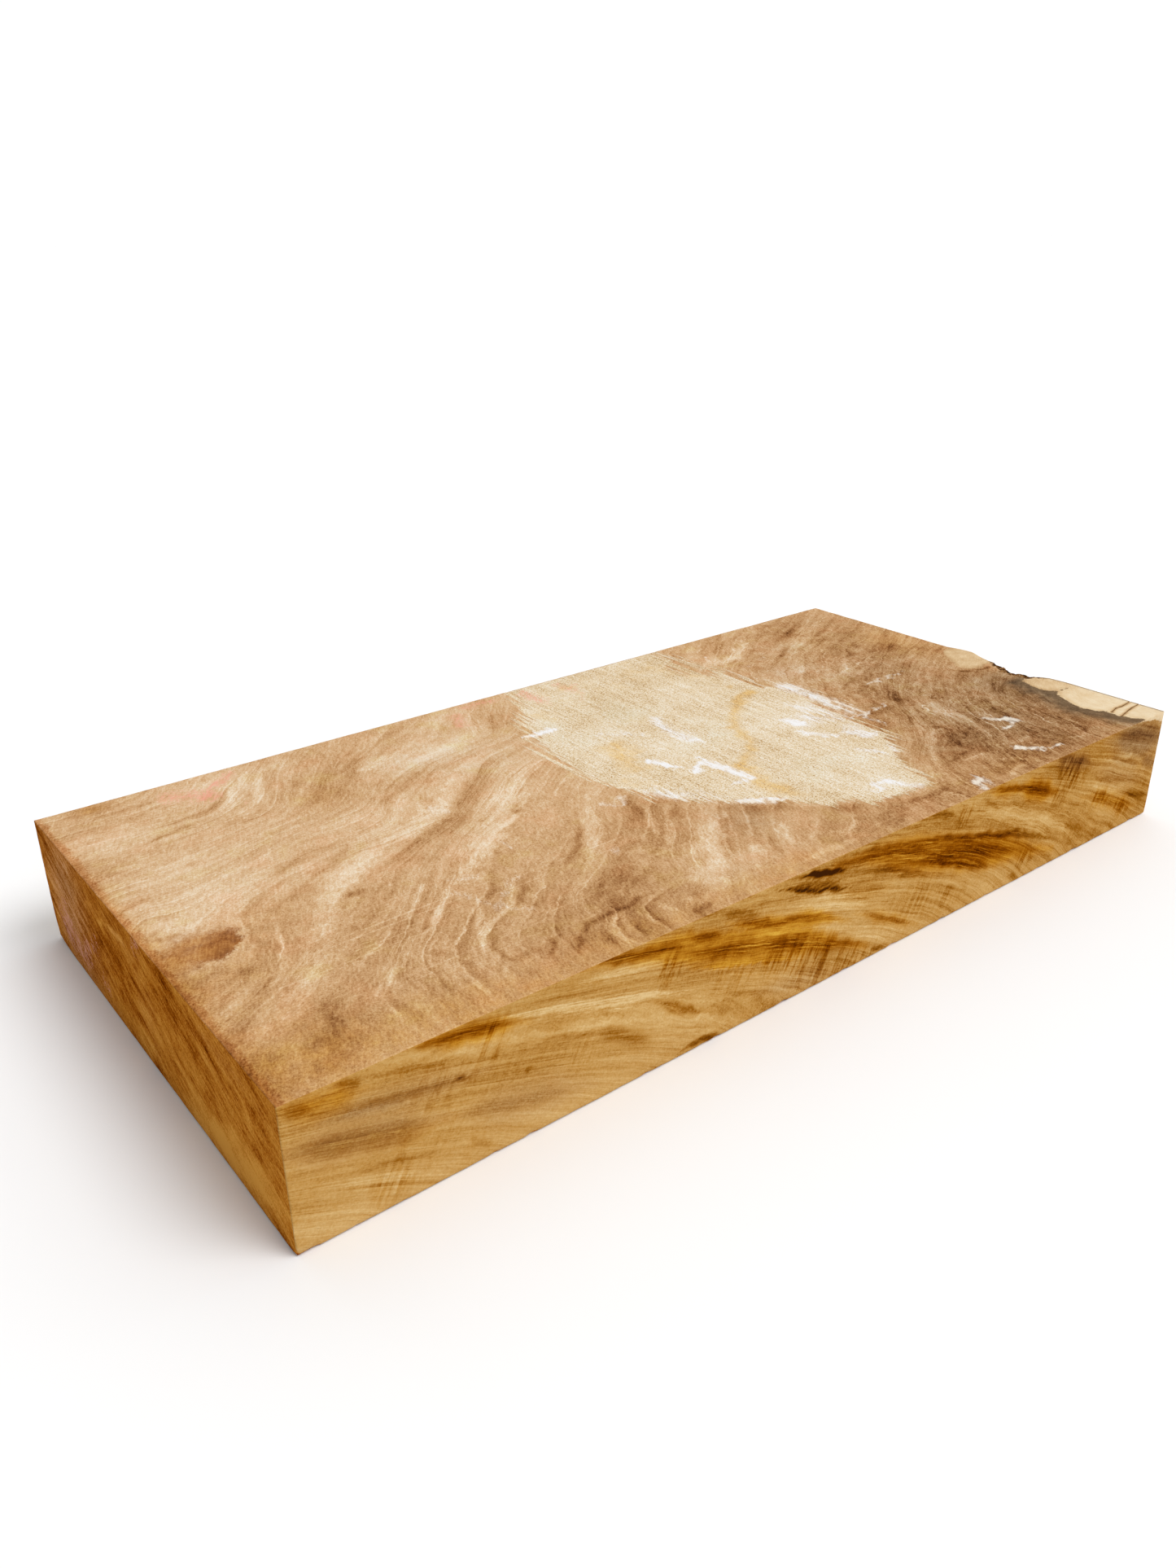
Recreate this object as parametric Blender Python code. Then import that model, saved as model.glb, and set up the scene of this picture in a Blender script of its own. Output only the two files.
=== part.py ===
"""Garapa crotch lumber: one short, thick slab, rough-sawn from where a garapa trunk forks.

Metres, +Z up. The slab lies on its wide face, its length along X and its width along Y. The origin is
the middle of the underside of its outer box. The left end (-X) is a clean saw cut. The right end (+X) is
a saw cut too, but it runs through a bark pocket, which leaves a ragged hollow in the cut and a small
lip beside it, and two drying checks open from that end.
"""

import math

import bmesh
import bpy
from mathutils import Matrix, Vector, noise

MM = 0.001

# Driving dimensions
SAWN_LENGTH = 0.6400
LIP_REACH = 0.0040
WIDTH = 0.3112
THICKNESS = 0.0756
OVERALL_LENGTH = SAWN_LENGTH + LIP_REACH

LEFT_END = -OVERALL_LENGTH / 2
RIGHT_END = LEFT_END + SAWN_LENGTH
NEAR_SIDE = -WIDTH / 2
FAR_SIDE = WIDTH / 2

# Arrises: the saw leaves them almost sharp, and the lower near one and the upright far-left one are worn
WORN_ARRIS = 0.0016
ARRIS_SHARE = 0.5
ARRIS_SEGMENTS = 2
WORN_CORNER_CUT = 0.0022

# The right end's line at the top face, from its far part to its near part: (y, distance past the saw
# cut), in millimetres. The lip stands out of the cut, and the bark pocket goes back into it.
END_LINE = [
    (19, 0), (16, 1.5), (8, 3.5), (0, 4), (-4, 2.5), (-9, 0),
    (-14, -2), (-20, -3), (-24, -3.5), (-28, -6.5), (-33, -6.5), (-37, -10.5), (-40, -10),
    (-44, -12.5), (-47.5, -13.5), (-50, -11), (-53.5, -8.5), (-59.5, -10), (-62, -6.5),
    (-65, -3.8), (-70, -1.6), (-80, 0),
]
LIP_DEPTH = 0.026
POCKET_DEPTH = 0.058
POCKET_LEAN = 0.16
SAW_STEP = 0.0010
SAW_STEP_FROM = -0.010
SAW_STEP_TO = -0.080

# The torn surface inside the pocket
TEAR_HEIGHT = 0.0016
TEAR_PER_METRE = Vector((0.0, 210.0, 95.0))
TEAR_FADE = 0.004

# Spacing of the points on the right end
FINE_STEP = 0.0026
PLAIN_STEP = 0.0160
UPRIGHT_ROWS = 18

# Drying checks in the top face: (x, y) along each one from the right end to its tip, in millimetres
CHECKS = {
    "check_cutter_upper": [(323, -131.2), (315, -131.5), (303, -133), (298, -132), (288, -134.5)],
    "check_cutter_lower": [(323, -137.8), (315, -138), (306, -138.5), (298, -140), (286, -142.5)],
}
CHECK_WIDTH = 0.0012
CHECK_TIP_WIDTH = 0.0003
CHECK_DEPTH = 0.0110
CHECK_TIP_DEPTH = 0.0020
CUTTER_PROUD = 0.0010

WOOD_COLOUR = (0.47, 0.27, 0.115, 1.0)
WOOD_ROUGHNESS = 0.72


def clear_scene():
    """Removes every object that the file starts with."""
    for item in list(bpy.data.objects):
        bpy.data.objects.remove(item, do_unlink=True)


def smooth_rise(value, start, stop):
    """0 before start, 1 after stop, and a smooth S between them."""
    t = min(max((value - start) / (stop - start), 0.0), 1.0)
    return t * t * (3.0 - 2.0 * t)


def past_cut(y):
    """How far the top face's right-hand line stands past the saw cut at this y."""
    y_mm = y / MM
    if y_mm >= END_LINE[0][0] or y_mm <= END_LINE[-1][0]:
        return 0.0
    for (y_a, out_a), (y_b, out_b) in zip(END_LINE, END_LINE[1:]):
        if y_mm >= y_b:
            share = (y_a - y_mm) / (y_a - y_b)
            return (out_a + (out_b - out_a) * share) * MM
    return 0.0


def saw_cut(y):
    """The plane of the right-hand saw cut, which steps back a little past the bark pocket."""
    return RIGHT_END - SAW_STEP * smooth_rise(-y, -SAW_STEP_FROM, -SAW_STEP_TO)


def end_surface(y, z):
    """The right end's x at this y and height: the saw cut, the lip and the torn bark pocket."""
    depth = THICKNESS - z
    standing_out = past_cut(y)
    if standing_out >= 0.0:
        lip = standing_out * (1.0 - smooth_rise(depth, 0.0, LIP_DEPTH))
    else:
        lip = 0.0
    sunk = min(past_cut(y + POCKET_LEAN * depth), 0.0)
    pocket = sunk * (1.0 - smooth_rise(depth, 0.3 * POCKET_DEPTH, POCKET_DEPTH))
    where = Vector((0.0, y * TEAR_PER_METRE.y, z * TEAR_PER_METRE.z))
    tear = TEAR_HEIGHT * noise.noise(where) * smooth_rise(-pocket, 0.0, 0.004)
    tear *= smooth_rise(depth, 0.0, TEAR_FADE)
    return min(saw_cut(y) + lip + pocket + tear, -LEFT_END)


def across_positions():
    """The y of each upright column of points on the right end, near to far, closest in the pocket."""
    corners = [NEAR_SIDE] + [y * MM for y, _ in reversed(END_LINE)] + [FAR_SIDE]
    found = [corners[0]]
    for start, stop in zip(corners, corners[1:]):
        in_pocket = start >= END_LINE[-1][0] * MM - 1e-6 and stop <= END_LINE[0][0] * MM + 1e-6
        step = FINE_STEP if in_pocket else PLAIN_STEP
        pieces = max(1, math.ceil((stop - start) / step))
        found += [start + (stop - start) * k / pieces for k in range(1, pieces + 1)]
    return found


def build_blank(name):
    """The slab's solid: the shaped right end, and plain sawn faces from it to the left end."""
    mesh = bpy.data.meshes.new(name)
    body = bmesh.new()
    across = across_positions()
    heights = [THICKNESS * k / UPRIGHT_ROWS for k in range(UPRIGHT_ROWS + 1)]
    end = [[body.verts.new((end_surface(y, z), y, z)) for z in heights] for y in across]
    for column, beside in zip(end, end[1:]):
        for k in range(UPRIGHT_ROWS):
            body.faces.new((column[k], beside[k], beside[k + 1], column[k + 1]))
    near_low, near_high, far_low, far_high = (
        body.verts.new((LEFT_END, y, z)) for y in (NEAR_SIDE, FAR_SIDE) for z in (0.0, THICKNESS)
    )
    body.faces.new([near_high] + [column[-1] for column in end] + [far_high])
    body.faces.new([far_low] + [column[0] for column in reversed(end)] + [near_low])
    body.faces.new([near_low] + end[0] + [near_high])
    body.faces.new([far_high] + list(reversed(end[-1])) + [far_low])
    body.faces.new((near_low, near_high, far_high, far_low))
    bmesh.ops.recalc_face_normals(body, faces=body.faces)
    body.to_mesh(mesh)
    body.free()
    slab = bpy.data.objects.new(name, mesh)
    bpy.context.scene.collection.objects.link(slab)
    return slab


def weigh_arrises(slab):
    """Marks the long arrises and the left end's for rounding, the worn ones fully."""
    mesh = slab.data
    weights = mesh.attributes.new("bevel_weight_edge", "FLOAT", "EDGE")
    for edge in mesh.edges:
        a, b = (mesh.vertices[k].co for k in edge.vertices)
        at_left = max(a.x, b.x) < LEFT_END + MM
        along = abs(a.x - b.x) > SAWN_LENGTH / 2
        if not (at_left or along):
            continue
        lower_near = along and max(a.y, b.y) < 0.0 and max(a.z, b.z) < THICKNESS / 2
        upright_far = at_left and abs(a.z - b.z) > THICKNESS / 2 and a.y > 0.0
        weights.data[edge.index].value = 1.0 if lower_near or upright_far else ARRIS_SHARE


def round_arrises(slab):
    bevel = slab.modifiers.new("arrises", "BEVEL")
    bevel.width = WORN_ARRIS
    bevel.segments = ARRIS_SEGMENTS
    bevel.limit_method = "WEIGHT"


def make_cutter(name, body):
    """A helper object from this bmesh, which the slab is cut by and which isn't part of it."""
    bmesh.ops.recalc_face_normals(body, faces=body.faces)
    mesh = bpy.data.meshes.new(name)
    body.to_mesh(mesh)
    body.free()
    cutter = bpy.data.objects.new(name, mesh)
    bpy.context.scene.collection.objects.link(cutter)
    cutter.hide_render = True
    cutter.display_type = "WIRE"
    return cutter


def check_cutter(name, line):
    """A drying check: a wedge, open at the top face, that narrows and rises towards its tip."""
    body = bmesh.new()
    rings = []
    for k, (x, y) in enumerate(line):
        share = k / (len(line) - 1)
        half = (CHECK_WIDTH + (CHECK_TIP_WIDTH - CHECK_WIDTH) * share) / 2
        depth = CHECK_DEPTH + (CHECK_TIP_DEPTH - CHECK_DEPTH) * share
        top = THICKNESS + CUTTER_PROUD
        rings.append([
            body.verts.new((x * MM, y * MM - half, top)),
            body.verts.new((x * MM, y * MM + half, top)),
            body.verts.new((x * MM, y * MM, THICKNESS - depth)),
        ])
    for ring, following in zip(rings, rings[1:]):
        for k in range(3):
            body.faces.new((ring[k], ring[(k + 1) % 3], following[(k + 1) % 3], following[k]))
    body.faces.new(rings[0])
    body.faces.new(rings[-1])
    return make_cutter(name, body)


def worn_corner_cutter():
    """A block that takes a small flat off the lower corner at the far left."""
    size = 0.040
    body = bmesh.new()
    bmesh.ops.create_cube(body, size=size)
    outward = Vector((-1.0, 1.0, -1.0)).normalized()
    turn = outward.to_track_quat("Z", "Y").to_matrix().to_4x4()
    corner = Vector((LEFT_END, FAR_SIDE, 0.0))
    middle = corner + outward * (size / 2 - WORN_CORNER_CUT)
    bmesh.ops.transform(body, matrix=Matrix.Translation(middle) @ turn, verts=body.verts)
    return make_cutter("worn_corner_cutter", body)


def cut(slab, cutter):
    difference = slab.modifiers.new(cutter.name, "BOOLEAN")
    difference.operation = "DIFFERENCE"
    difference.solver = "EXACT"
    difference.object = cutter


def wood_material():
    material = bpy.data.materials.new("garapa")
    material.use_nodes = True
    shader = material.node_tree.nodes["Principled BSDF"]
    shader.inputs["Base Color"].default_value = WOOD_COLOUR
    shader.inputs["Roughness"].default_value = WOOD_ROUGHNESS
    shader.inputs["Metallic"].default_value = 0.0
    return material


def main():
    clear_scene()
    slab = build_blank("lumber_slab")
    weigh_arrises(slab)
    round_arrises(slab)
    cut(slab, worn_corner_cutter())
    for name, line in CHECKS.items():
        cut(slab, check_cutter(name, line))
    slab.data.materials.append(wood_material())


main()
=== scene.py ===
"""A garapa crotch slab: one rough-sawn, figured slab of wood lying on a pale floor.

The slab is one mesh in place of its plain solid. Its broad colouring is worked out at the mesh's points
from growth lines, zones and strokes, each listed, and its fine grain comes from noise in the
material, stretched along the growth lines. Places on the slab are in millimetres from the middle of its
sawn rectangle: x along it, y across it and z up from its underside.
"""

import math

import bmesh
import bpy
import numpy as np
from mathutils import Matrix, Vector


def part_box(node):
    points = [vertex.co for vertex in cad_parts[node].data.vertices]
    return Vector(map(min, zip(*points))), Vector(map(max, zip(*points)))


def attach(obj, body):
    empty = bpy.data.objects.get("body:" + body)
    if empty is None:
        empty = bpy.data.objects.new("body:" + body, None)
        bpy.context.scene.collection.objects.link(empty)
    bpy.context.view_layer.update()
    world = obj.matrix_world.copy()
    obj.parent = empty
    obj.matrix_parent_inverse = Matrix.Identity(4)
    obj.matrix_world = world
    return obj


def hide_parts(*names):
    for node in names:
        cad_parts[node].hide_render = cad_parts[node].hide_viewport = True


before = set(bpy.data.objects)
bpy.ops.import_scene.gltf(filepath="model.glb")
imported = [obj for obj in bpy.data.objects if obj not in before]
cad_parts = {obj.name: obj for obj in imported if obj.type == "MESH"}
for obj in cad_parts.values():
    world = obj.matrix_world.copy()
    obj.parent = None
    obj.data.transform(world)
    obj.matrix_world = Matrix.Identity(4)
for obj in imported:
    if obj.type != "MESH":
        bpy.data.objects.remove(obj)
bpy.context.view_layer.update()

MM = 0.001

# How much brighter the lit top is than the share of light that it throws back
LIGHT_ON_TOP = 1.2


def colour(red, green, blue):
    """The share of light that a surface throws back if it looks this colour, each from 0 to 255."""
    shares = (red / 255, green / 255, blue / 255)
    light = (s / 12.92 if s <= 0.04045 else ((s + 0.055) / 1.055) ** 2.4 for s in shares)
    return tuple(value / LIGHT_ON_TOP for value in light)


def colours(*looks):
    return [colour(*look) for look in looks]


NODE = "lumber_slab"
LOW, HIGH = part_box(NODE)

# Driving dimensions, in millimetres
LIP_REACH = 4.0
LENGTH = (HIGH.x - LOW.x) / MM - LIP_REACH
WIDTH = (HIGH.y - LOW.y) / MM
THICKNESS = (HIGH.z - LOW.z) / MM
HALF_LENGTH = LENGTH / 2
HALF_WIDTH = WIDTH / 2
MIDDLE_X = LOW.x / MM + HALF_LENGTH

# The mesh: the usual spacing of its points along x, y and z, and the loops close to each arris
SPACING = (2.30, 2.16, 1.66)
ARRIS_LOOPS = (0.0, 0.35, 0.8, 1.5)
ARRIS_RADIUS = 0.55
WORN_RADIUS = 1.3
CORNER_RADIUS = 3.4
CORNER_REACH = 14.0
SHARP_ANGLE = 44.0

# The right end's line at the top face: (y, distance past the saw cut)
END_LINE = [
    (19, 0), (16, 1.5), (8, 3.5), (0, 4), (-4, 2.5), (-9, 0), (-14, -2), (-20, -3), (-24, -3.5), (-28, -6.5),
    (-33, -6.5), (-37, -10.5), (-40, -10), (-44, -12.5), (-47.5, -13.5), (-50, -11), (-53.5, -8.5),
    (-59.5, -10), (-62, -6.5), (-65, -3.8), (-70, -1.6), (-80, 0),
]

# How far down the end the lip and the bark pocket go, the pocket's lean, and a step in the saw cut
LIP_DEPTH = 26.0
POCKET_DEPTH = 58.0
POCKET_LEAN = 0.16
SAW_STEP = 1.0
SAW_STEP_SPAN = (10.0, 80.0)
END_ZONE = 36.0

# Drying checks in the top face, each from the right end to its tip
CHECKS = [
    [(321, -131.2), (317, -131.5), (305, -133), (300, -132), (290, -134.5)],
    [(321, -137.8), (317, -138), (308, -138.5), (300, -140), (288, -142.5)],
]
CHECK_WIDTH = 1.2
CHECK_TIP_WIDTH = 0.3
CHECK_DEPTH = 11.0
CHECK_TIP_DEPTH = 2.0

# Growth surfaces slant: each runs this far along x for every millimetre down, and less so lower down
SLANT = 4.6
SLANT_EASE = 0.020

# They grow steeper between these two x
STEEPER_SPAN = (40.0, 260.0)
STEEPER_SLANT = 1.2
STEEPER_EASE = 0.007

# Growth lines on the top face, as (ring number, points), and some past the left end, where the
# slanting growth surfaces that show on the left end and the near side would meet the top's plane
GROWTH_LINES = [
    (0.5, [(-320, 150), (-290, 149), (-262, 152)]),
    (1.5, [(-320, 135), (-290, 135), (-268, 136), (-255, 141), (-245, 150)]),
    (2.5, [(-320, 125), (-280, 126), (-255, 127), (-243, 132), (-232, 142), (-225, 152)]),
    (4.5, [(-320, 104), (-278, 103), (-260, 104), (-240, 102), (-232, 112), (-220, 128), (-205, 140),
           (-192, 153)]),
    (6.5, [(-320, 86), (-290, 86), (-275, 91), (-245, 93), (-228, 100), (-210, 113), (-200, 128),
           (-182, 150)]),
    (8.5, [(-320, 68), (-280, 72), (-250, 76), (-235, 80), (-215, 82), (-200, 100), (-190, 122),
           (-172, 145)]),
    (10.5, [(-320, 52), (-270, 58), (-240, 64), (-220, 68), (-200, 76), (-182, 98), (-165, 120),
            (-145, 145)]),
    (12.5, [(-320, 38), (-270, 42), (-245, 48), (-215, 56), (-185, 60), (-165, 80), (-150, 105), (-125, 125),
            (-100, 150)]),
    (14.5, [(-320, 22), (-270, 30), (-240, 38), (-215, 47), (-190, 50), (-165, 56), (-150, 72), (-140, 86),
            (-115, 100), (-85, 115), (-60, 140)]),
    (16.5, [(-320, 2), (-270, 14), (-240, 20), (-210, 24), (-182, 28), (-163, 38), (-155, 52), (-137, 66),
            (-110, 81), (-80, 88), (-50, 100), (-35, 125), (-15, 150)]),
    (17.5, [(-240, 14), (-265, 6), (-285, -4), (-300, -14), (-312, -28), (-320, -40)]),
    (18.5, [(-213, 11), (-195, 16), (-170, 18), (-150, 30), (-140, 45), (-122, 60), (-100, 74), (-75, 80),
            (-45, 86), (-20, 105), (10, 140)]),
    (18.5, [(-213, 11), (-245, 4), (-268, -10), (-277, -30), (-283, -52), (-295, -68), (-320, -80)]),
    (19.5, [(-195, 8), (-225, 0), (-250, -12), (-262, -30), (-268, -50), (-280, -70), (-300, -85),
            (-320, -97)]),
    (20.5, [(-190, -8), (-165, 0), (-135, 10), (-110, 30), (-95, 42), (-78, 56), (-55, 65), (-35, 73),
            (0, 88), (40, 120)]),
    (20.5, [(-190, -8), (-212, -20), (-228, -34), (-245, -50), (-262, -66), (-285, -84), (-320, -106)]),
    (21.5, [(-175, -12), (-195, -25), (-207, -38), (-222, -52), (-240, -64), (-262, -79), (-280, -92),
            (-300, -105), (-320, -119)]),
    (22.5, [(-60, 57), (-80, 48), (-100, 33), (-120, 15), (-140, 0), (-158, -10), (-172, -22), (-185, -34),
            (-195, -48), (-205, -58), (-220, -70), (-240, -84), (-262, -100), (-280, -118), (-305, -140)]),
    (23.5, [(-30, 60), (-60, 50), (-85, 38), (-105, 20), (-125, 5), (-145, -8), (-160, -20), (-178, -33),
            (-190, -44), (-200, -56), (-210, -67), (-220, -80), (-238, -102), (-252, -112), (-254, -125),
            (-253, -150)]),
    (24.5, [(-175, -42), (-185, -53), (-193, -63), (-212, -80), (-230, -97), (-237, -110), (-238, -125),
            (-240, -150)]),
    (25.5, [(-40, 45), (-70, 30), (-90, 15), (-110, -2), (-130, -12), (-150, -25), (-165, -38), (-175, -50),
            (-186, -62), (-200, -76), (-214, -90), (-224, -104), (-228, -120), (-228, -150)]),
    (26.5, [(-50, 28), (-75, 10), (-95, -8), (-115, -22), (-135, -36), (-150, -50), (-163, -64), (-178, -78),
            (-193, -92), (-207, -106), (-214, -120), (-215, -150)]),
    (27.5, [(-60, 10), (-80, -8), (-100, -28), (-118, -42), (-135, -56), (-150, -70), (-163, -83),
            (-175, -93), (-187, -101), (-197, -110), (-201, -122), (-198, -133), (-202, -150)]),
    (28.5, [(-75, -20), (-92, -40), (-108, -55), (-125, -68), (-142, -82), (-158, -95), (-172, -106),
            (-181, -118), (-182, -130), (-185, -150)]),
    (29.5, [(-45, -12), (-65, -28), (-82, -48), (-98, -62), (-115, -76), (-130, -88), (-145, -99),
            (-157, -110), (-165, -122), (-165, -135), (-168, -152)]),
    (30.5, [(-38, -25), (-55, -40), (-70, -55), (-85, -68), (-100, -80), (-118, -90), (-133, -100),
            (-145, -112), (-143, -124), (-150, -132), (-155, -150)]),
    (31.5, [(-35, -42), (-50, -56), (-65, -70), (-80, -80), (-95, -88), (-108, -97), (-120, -104),
            (-128, -112), (-124, -121), (-130, -128), (-139, -138), (-140, -152)]),
    (32.5, [(-33, -55), (-45, -66), (-50, -78), (-62, -90), (-73, -105), (-78, -118), (-95, -124),
            (-112, -128), (-120, -140), (-120, -152)]),
    (33.5, [(-30, -66), (-38, -78), (-48, -88), (-57, -98), (-65, -110), (-70, -120), (-82, -130),
            (-95, -140), (-100, -152)]),
    (34.5, [(-18, -76), (-28, -90), (-38, -104), (-46, -117), (-55, -128), (-62, -136), (-75, -146),
            (-80, -154)]),
    (35.5, [(-5, -84), (-15, -100), (-25, -112), (-33, -122), (-42, -135), (-52, -150)]),
    (36.5, [(12, -92), (0, -105), (-10, -115), (-18, -125), (-25, -138), (-30, -152)]),
    (37.5, [(28, -108), (18, -118), (5, -128), (-5, -140), (-10, -152)]),
    (38.5, [(45, -120), (35, -130), (22, -140), (12, -152)]),
    (39.5, [(62, -130), (52, -138), (42, -150)]),
    (40.5, [(85, -133), (78, -143), (72, -154)]),
    (41.5, [(105, -135), (103, -154)]),
    (27.0, [(60, 62), (120, 110), (150, 135), (170, 153)]),
    (28.5, [(100, 70), (150, 105), (170, 120), (198, 140), (215, 153)]),
    (30.0, [(110, 45), (160, 92), (195, 118), (215, 133), (245, 153)]),
    (31.5, [(120, 25), (165, 75), (200, 100), (240, 118), (270, 134), (300, 152)]),
    (33.0, [(130, 5), (170, 55), (215, 90), (250, 108), (280, 126), (318, 146)]),
    (34.5, [(140, -15), (175, 35), (220, 75), (265, 98), (318, 120)]),
    (36.0, [(148, -35), (185, 18), (225, 55), (270, 78), (318, 100)]),
    (37.5, [(152, -60), (190, -5), (230, 35), (275, 58), (318, 78)]),
    (39.5, [(146, -85), (180, -50), (205, -18), (235, 10), (275, 35), (318, 58)]),
    (42.5, [(128, -128), (132, -118), (140, -105), (155, -92), (170, -80), (178, -65), (190, -45), (202, -28),
            (222, -12), (250, 8), (285, 28), (318, 38)]),
    (44.5, [(145, -150), (150, -130), (165, -112), (182, -95), (195, -70), (208, -42), (232, -20), (262, 0),
            (300, 20)]),
    (46.5, [(170, -152), (178, -130), (192, -108), (205, -85), (215, -60), (240, -35), (268, -14), (300, 4)]),
    (48.5, [(200, -152), (205, -130), (215, -108), (224, -85), (235, -62), (255, -42), (278, -28)]),
    (50.5, [(225, -152), (230, -130), (236, -105), (245, -82), (258, -62), (280, -48), (300, -36)]),
    (52.5, [(245, -152), (250, -130), (256, -105), (264, -82), (278, -65)]),
    (54.5, [(265, -152), (268, -130), (272, -105), (280, -85), (295, -70)]),
    (56.5, [(285, -152), (288, -130), (295, -110), (305, -95)]),
    (58.5, [(310, -152), (312, -130), (318, -115)]),
    (15.0, [(-406, -155), (-385, -110), (-352, -60), (-330, -30)]),
    (12.0, [(-446, -155), (-425, -110), (-390, -60), (-356, -20), (-334, 20)]),
    (9.0, [(-483, -155), (-454, -110), (-408, -50), (-373, 0), (-344, 45)]),
    (5.0, [(-527, -155), (-478, -90), (-431, -30), (-390, 30), (-350, 80)]),
    (1.0, [(-500, 0), (-450, 60), (-400, 110), (-350, 146)]),
]
GROWTH_EASE = 0.0004
FIELD_UNIT = 100.0

# The torn wood of the bark pocket, the crumbs lodged in it and the crumbling edge above it
POCKET_SPAN = (-72.0, 12.0)
POCKET_CROWDING = 0.3
TEAR_HEIGHT = 0.9
CRUMB_SEED = 71
CRUMB_COUNT = 34
CRUMB_SPAN = (-60.0, -24.0)
CRUMB_DEPTHS = (0.0, 16.0)
CRUMB_SIZES = (1.4, 3.8)
CRUMBLE_DEPTH = 1.5
CRUMBLE_REACH = 5.0

# How many half widths a stroke reaches, and the share of its length over which each end tapers
STROKE_REACH = 1.7
STROKE_TAPER = 0.34
MARK_TAPER = 0.10

# Where the planer missed the top face, which is still as sawn and a little lower
SAWN_SINK = 0.35
SAWN_PATCH = [
    (2, 160), (-8, 130), (-25, 100), (-38, 76), (-45, 50), (-46, 20), (-45, 0), (-40, -18), (-32, -40),
    (-20, -55), (-8, -66), (0, -74), (12, -82), (25, -90), (28, -101), (36, -112), (54, -114), (57, -125),
    (76, -128), (98, -128), (108, -127), (113, -121), (117, -106), (122, -96), (131, -88), (135, -80),
    (143, -72), (146, -50), (150, -30), (158, -8), (163, 15), (160, 40), (153, 60), (148, 85), (140, 105),
    (138, 130), (138, 160),
]

# Brown planed wood shows through the patch's edge in thin bars, each (half-width, distance, points)
SHOW_THROUGH = [
    (1.6, 27.0, [(117, 124), (117, 112), (117, 99)]), (1.6, 21.0, [(124, 128), (124, 112), (124, 97)]),
    (1.8, 14.0, [(129, 120), (129, 110), (129, 101)]), (2.2, 22.0, [(147, 88), (147, 66), (147, 44)]),
    (1.6, 22.0, [(153, 62), (153, 54), (153, 44)]), (2.0, 20.0, [(150, 8), (150, -12), (149, -34)]),
    (1.8, 18.0, [(148, -24), (148, -40), (147, -58)]), (1.6, 14.0, [(139, -66), (139, -76), (138, -90)]),
    (1.5, 14.0, [(126, -84), (126, -94), (126, -110)]), (1.5, 14.0, [(119, -94), (119, -106), (118, -122)]),
    (1.4, 10.0, [(-36, 90), (-36, 70), (-37, 52)]), (1.4, 16.0, [(120, 142), (120, 118), (120, 92)]),
    (1.4, 16.0, [(134, 132), (134, 108), (134, 84)]), (1.5, 18.0, [(140, 104), (140, 84), (140, 62)]),
    (1.4, 14.0, [(112, 150), (112, 134), (112, 118)]), (1.4, 12.0, [(-30, 96), (-30, 84), (-31, 70)]),
    (1.4, 10.0, [(-41, 66), (-41, 50), (-42, 36)]), (1.4, 10.0, [(-38, -18), (-37, -28), (-36, -40)]),
    (1.4, 10.0, [(-30, -34), (-30, -44), (-29, -54)]),
]
RAGGED = [
    (155, -5, 26, 62, 0, 1.2), (128, -95, 16, 40, 0, 0.8), (140, 110, 26, 50, 0, 1.8),
    (-36, 70, 14, 60, 0, 0.7), (-10, 135, 20, 30, 0, 1.2), (20, -95, 40, 16, -30, -0.3),
]
SAWN_WASHES = [
    (60, 120, 69, 33, 0, -0.091), (100, -20, 30, 30, 0, 0.08), (75, -92, 30, 28, 0, 0.04),
    (128, 110, 20, 40, 0, -0.12), (-10, 60, 26, 30, 0, 0.02), (40, 85, 26, 30, 0, -0.05),
    (40, 96, 40, 16, 0, 0.06), (27, -101, 36, 16, 0, -0.094), (85, -60, 26, 20, 0, -0.04),
    (-38, 10, 8, 60, 0, -0.06), (100, 136, 24, 20, 0, -0.04), (-20, 20, 20, 22, 0, 0.08),
    (20, 20, 22, 18, 0, 0.12), (20, -58, 20, 18, 0, 0.04),
]
SAWN_AMBER = [
    (4.0, 0.9, [(108, 38), (120, 45), (136, 50)]), (3.0, 1.0, [(129, 66), (129, 58)]),
    (4.0, 0.8, [(38, 142), (40, 134)]),
    (4.6, 1.1, [(139, 48), (122, 43), (105, 32), (88, 18), (76, 1), (70, -16), (59, -28), (44, -36),
                (30, -43)]),
    (7.0, 0.9, [(40, -42), (34, -56), (30, -70), (34, -84)]), (5.0, 0.9, [(118, 42), (126, 44), (136, 47)]),
    (9.0, 0.7, [(4, 40), (-8, 18), (-14, -12)]), (7.0, 0.7, [(10, 42), (4, 26), (2, 10)]),
    (8.0, 0.7, [(22, -32), (34, -38), (44, -42)]), (7.0, 0.8, [(28, -62), (32, -76), (36, -90)]),
    (3.0, 1.3, [(118, 42), (128, 45), (138, 48)]), (7.0, 0.7, [(132, -10), (140, -16), (146, -24)]),
    (8.0, 0.45, [(30, 60), (46, 50), (58, 56)]), (5.0, 0.5, [(-32, -6), (-26, -24), (-20, -36)]),
    (6.0, 0.35, [(96, 80), (108, 70), (112, 56)]), (6.0, 0.45, [(-12, 110), (-4, 100), (0, 90)]),
    (5.0, 0.45, [(42, 130), (38, 138), (38, 148)]),
]
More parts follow.
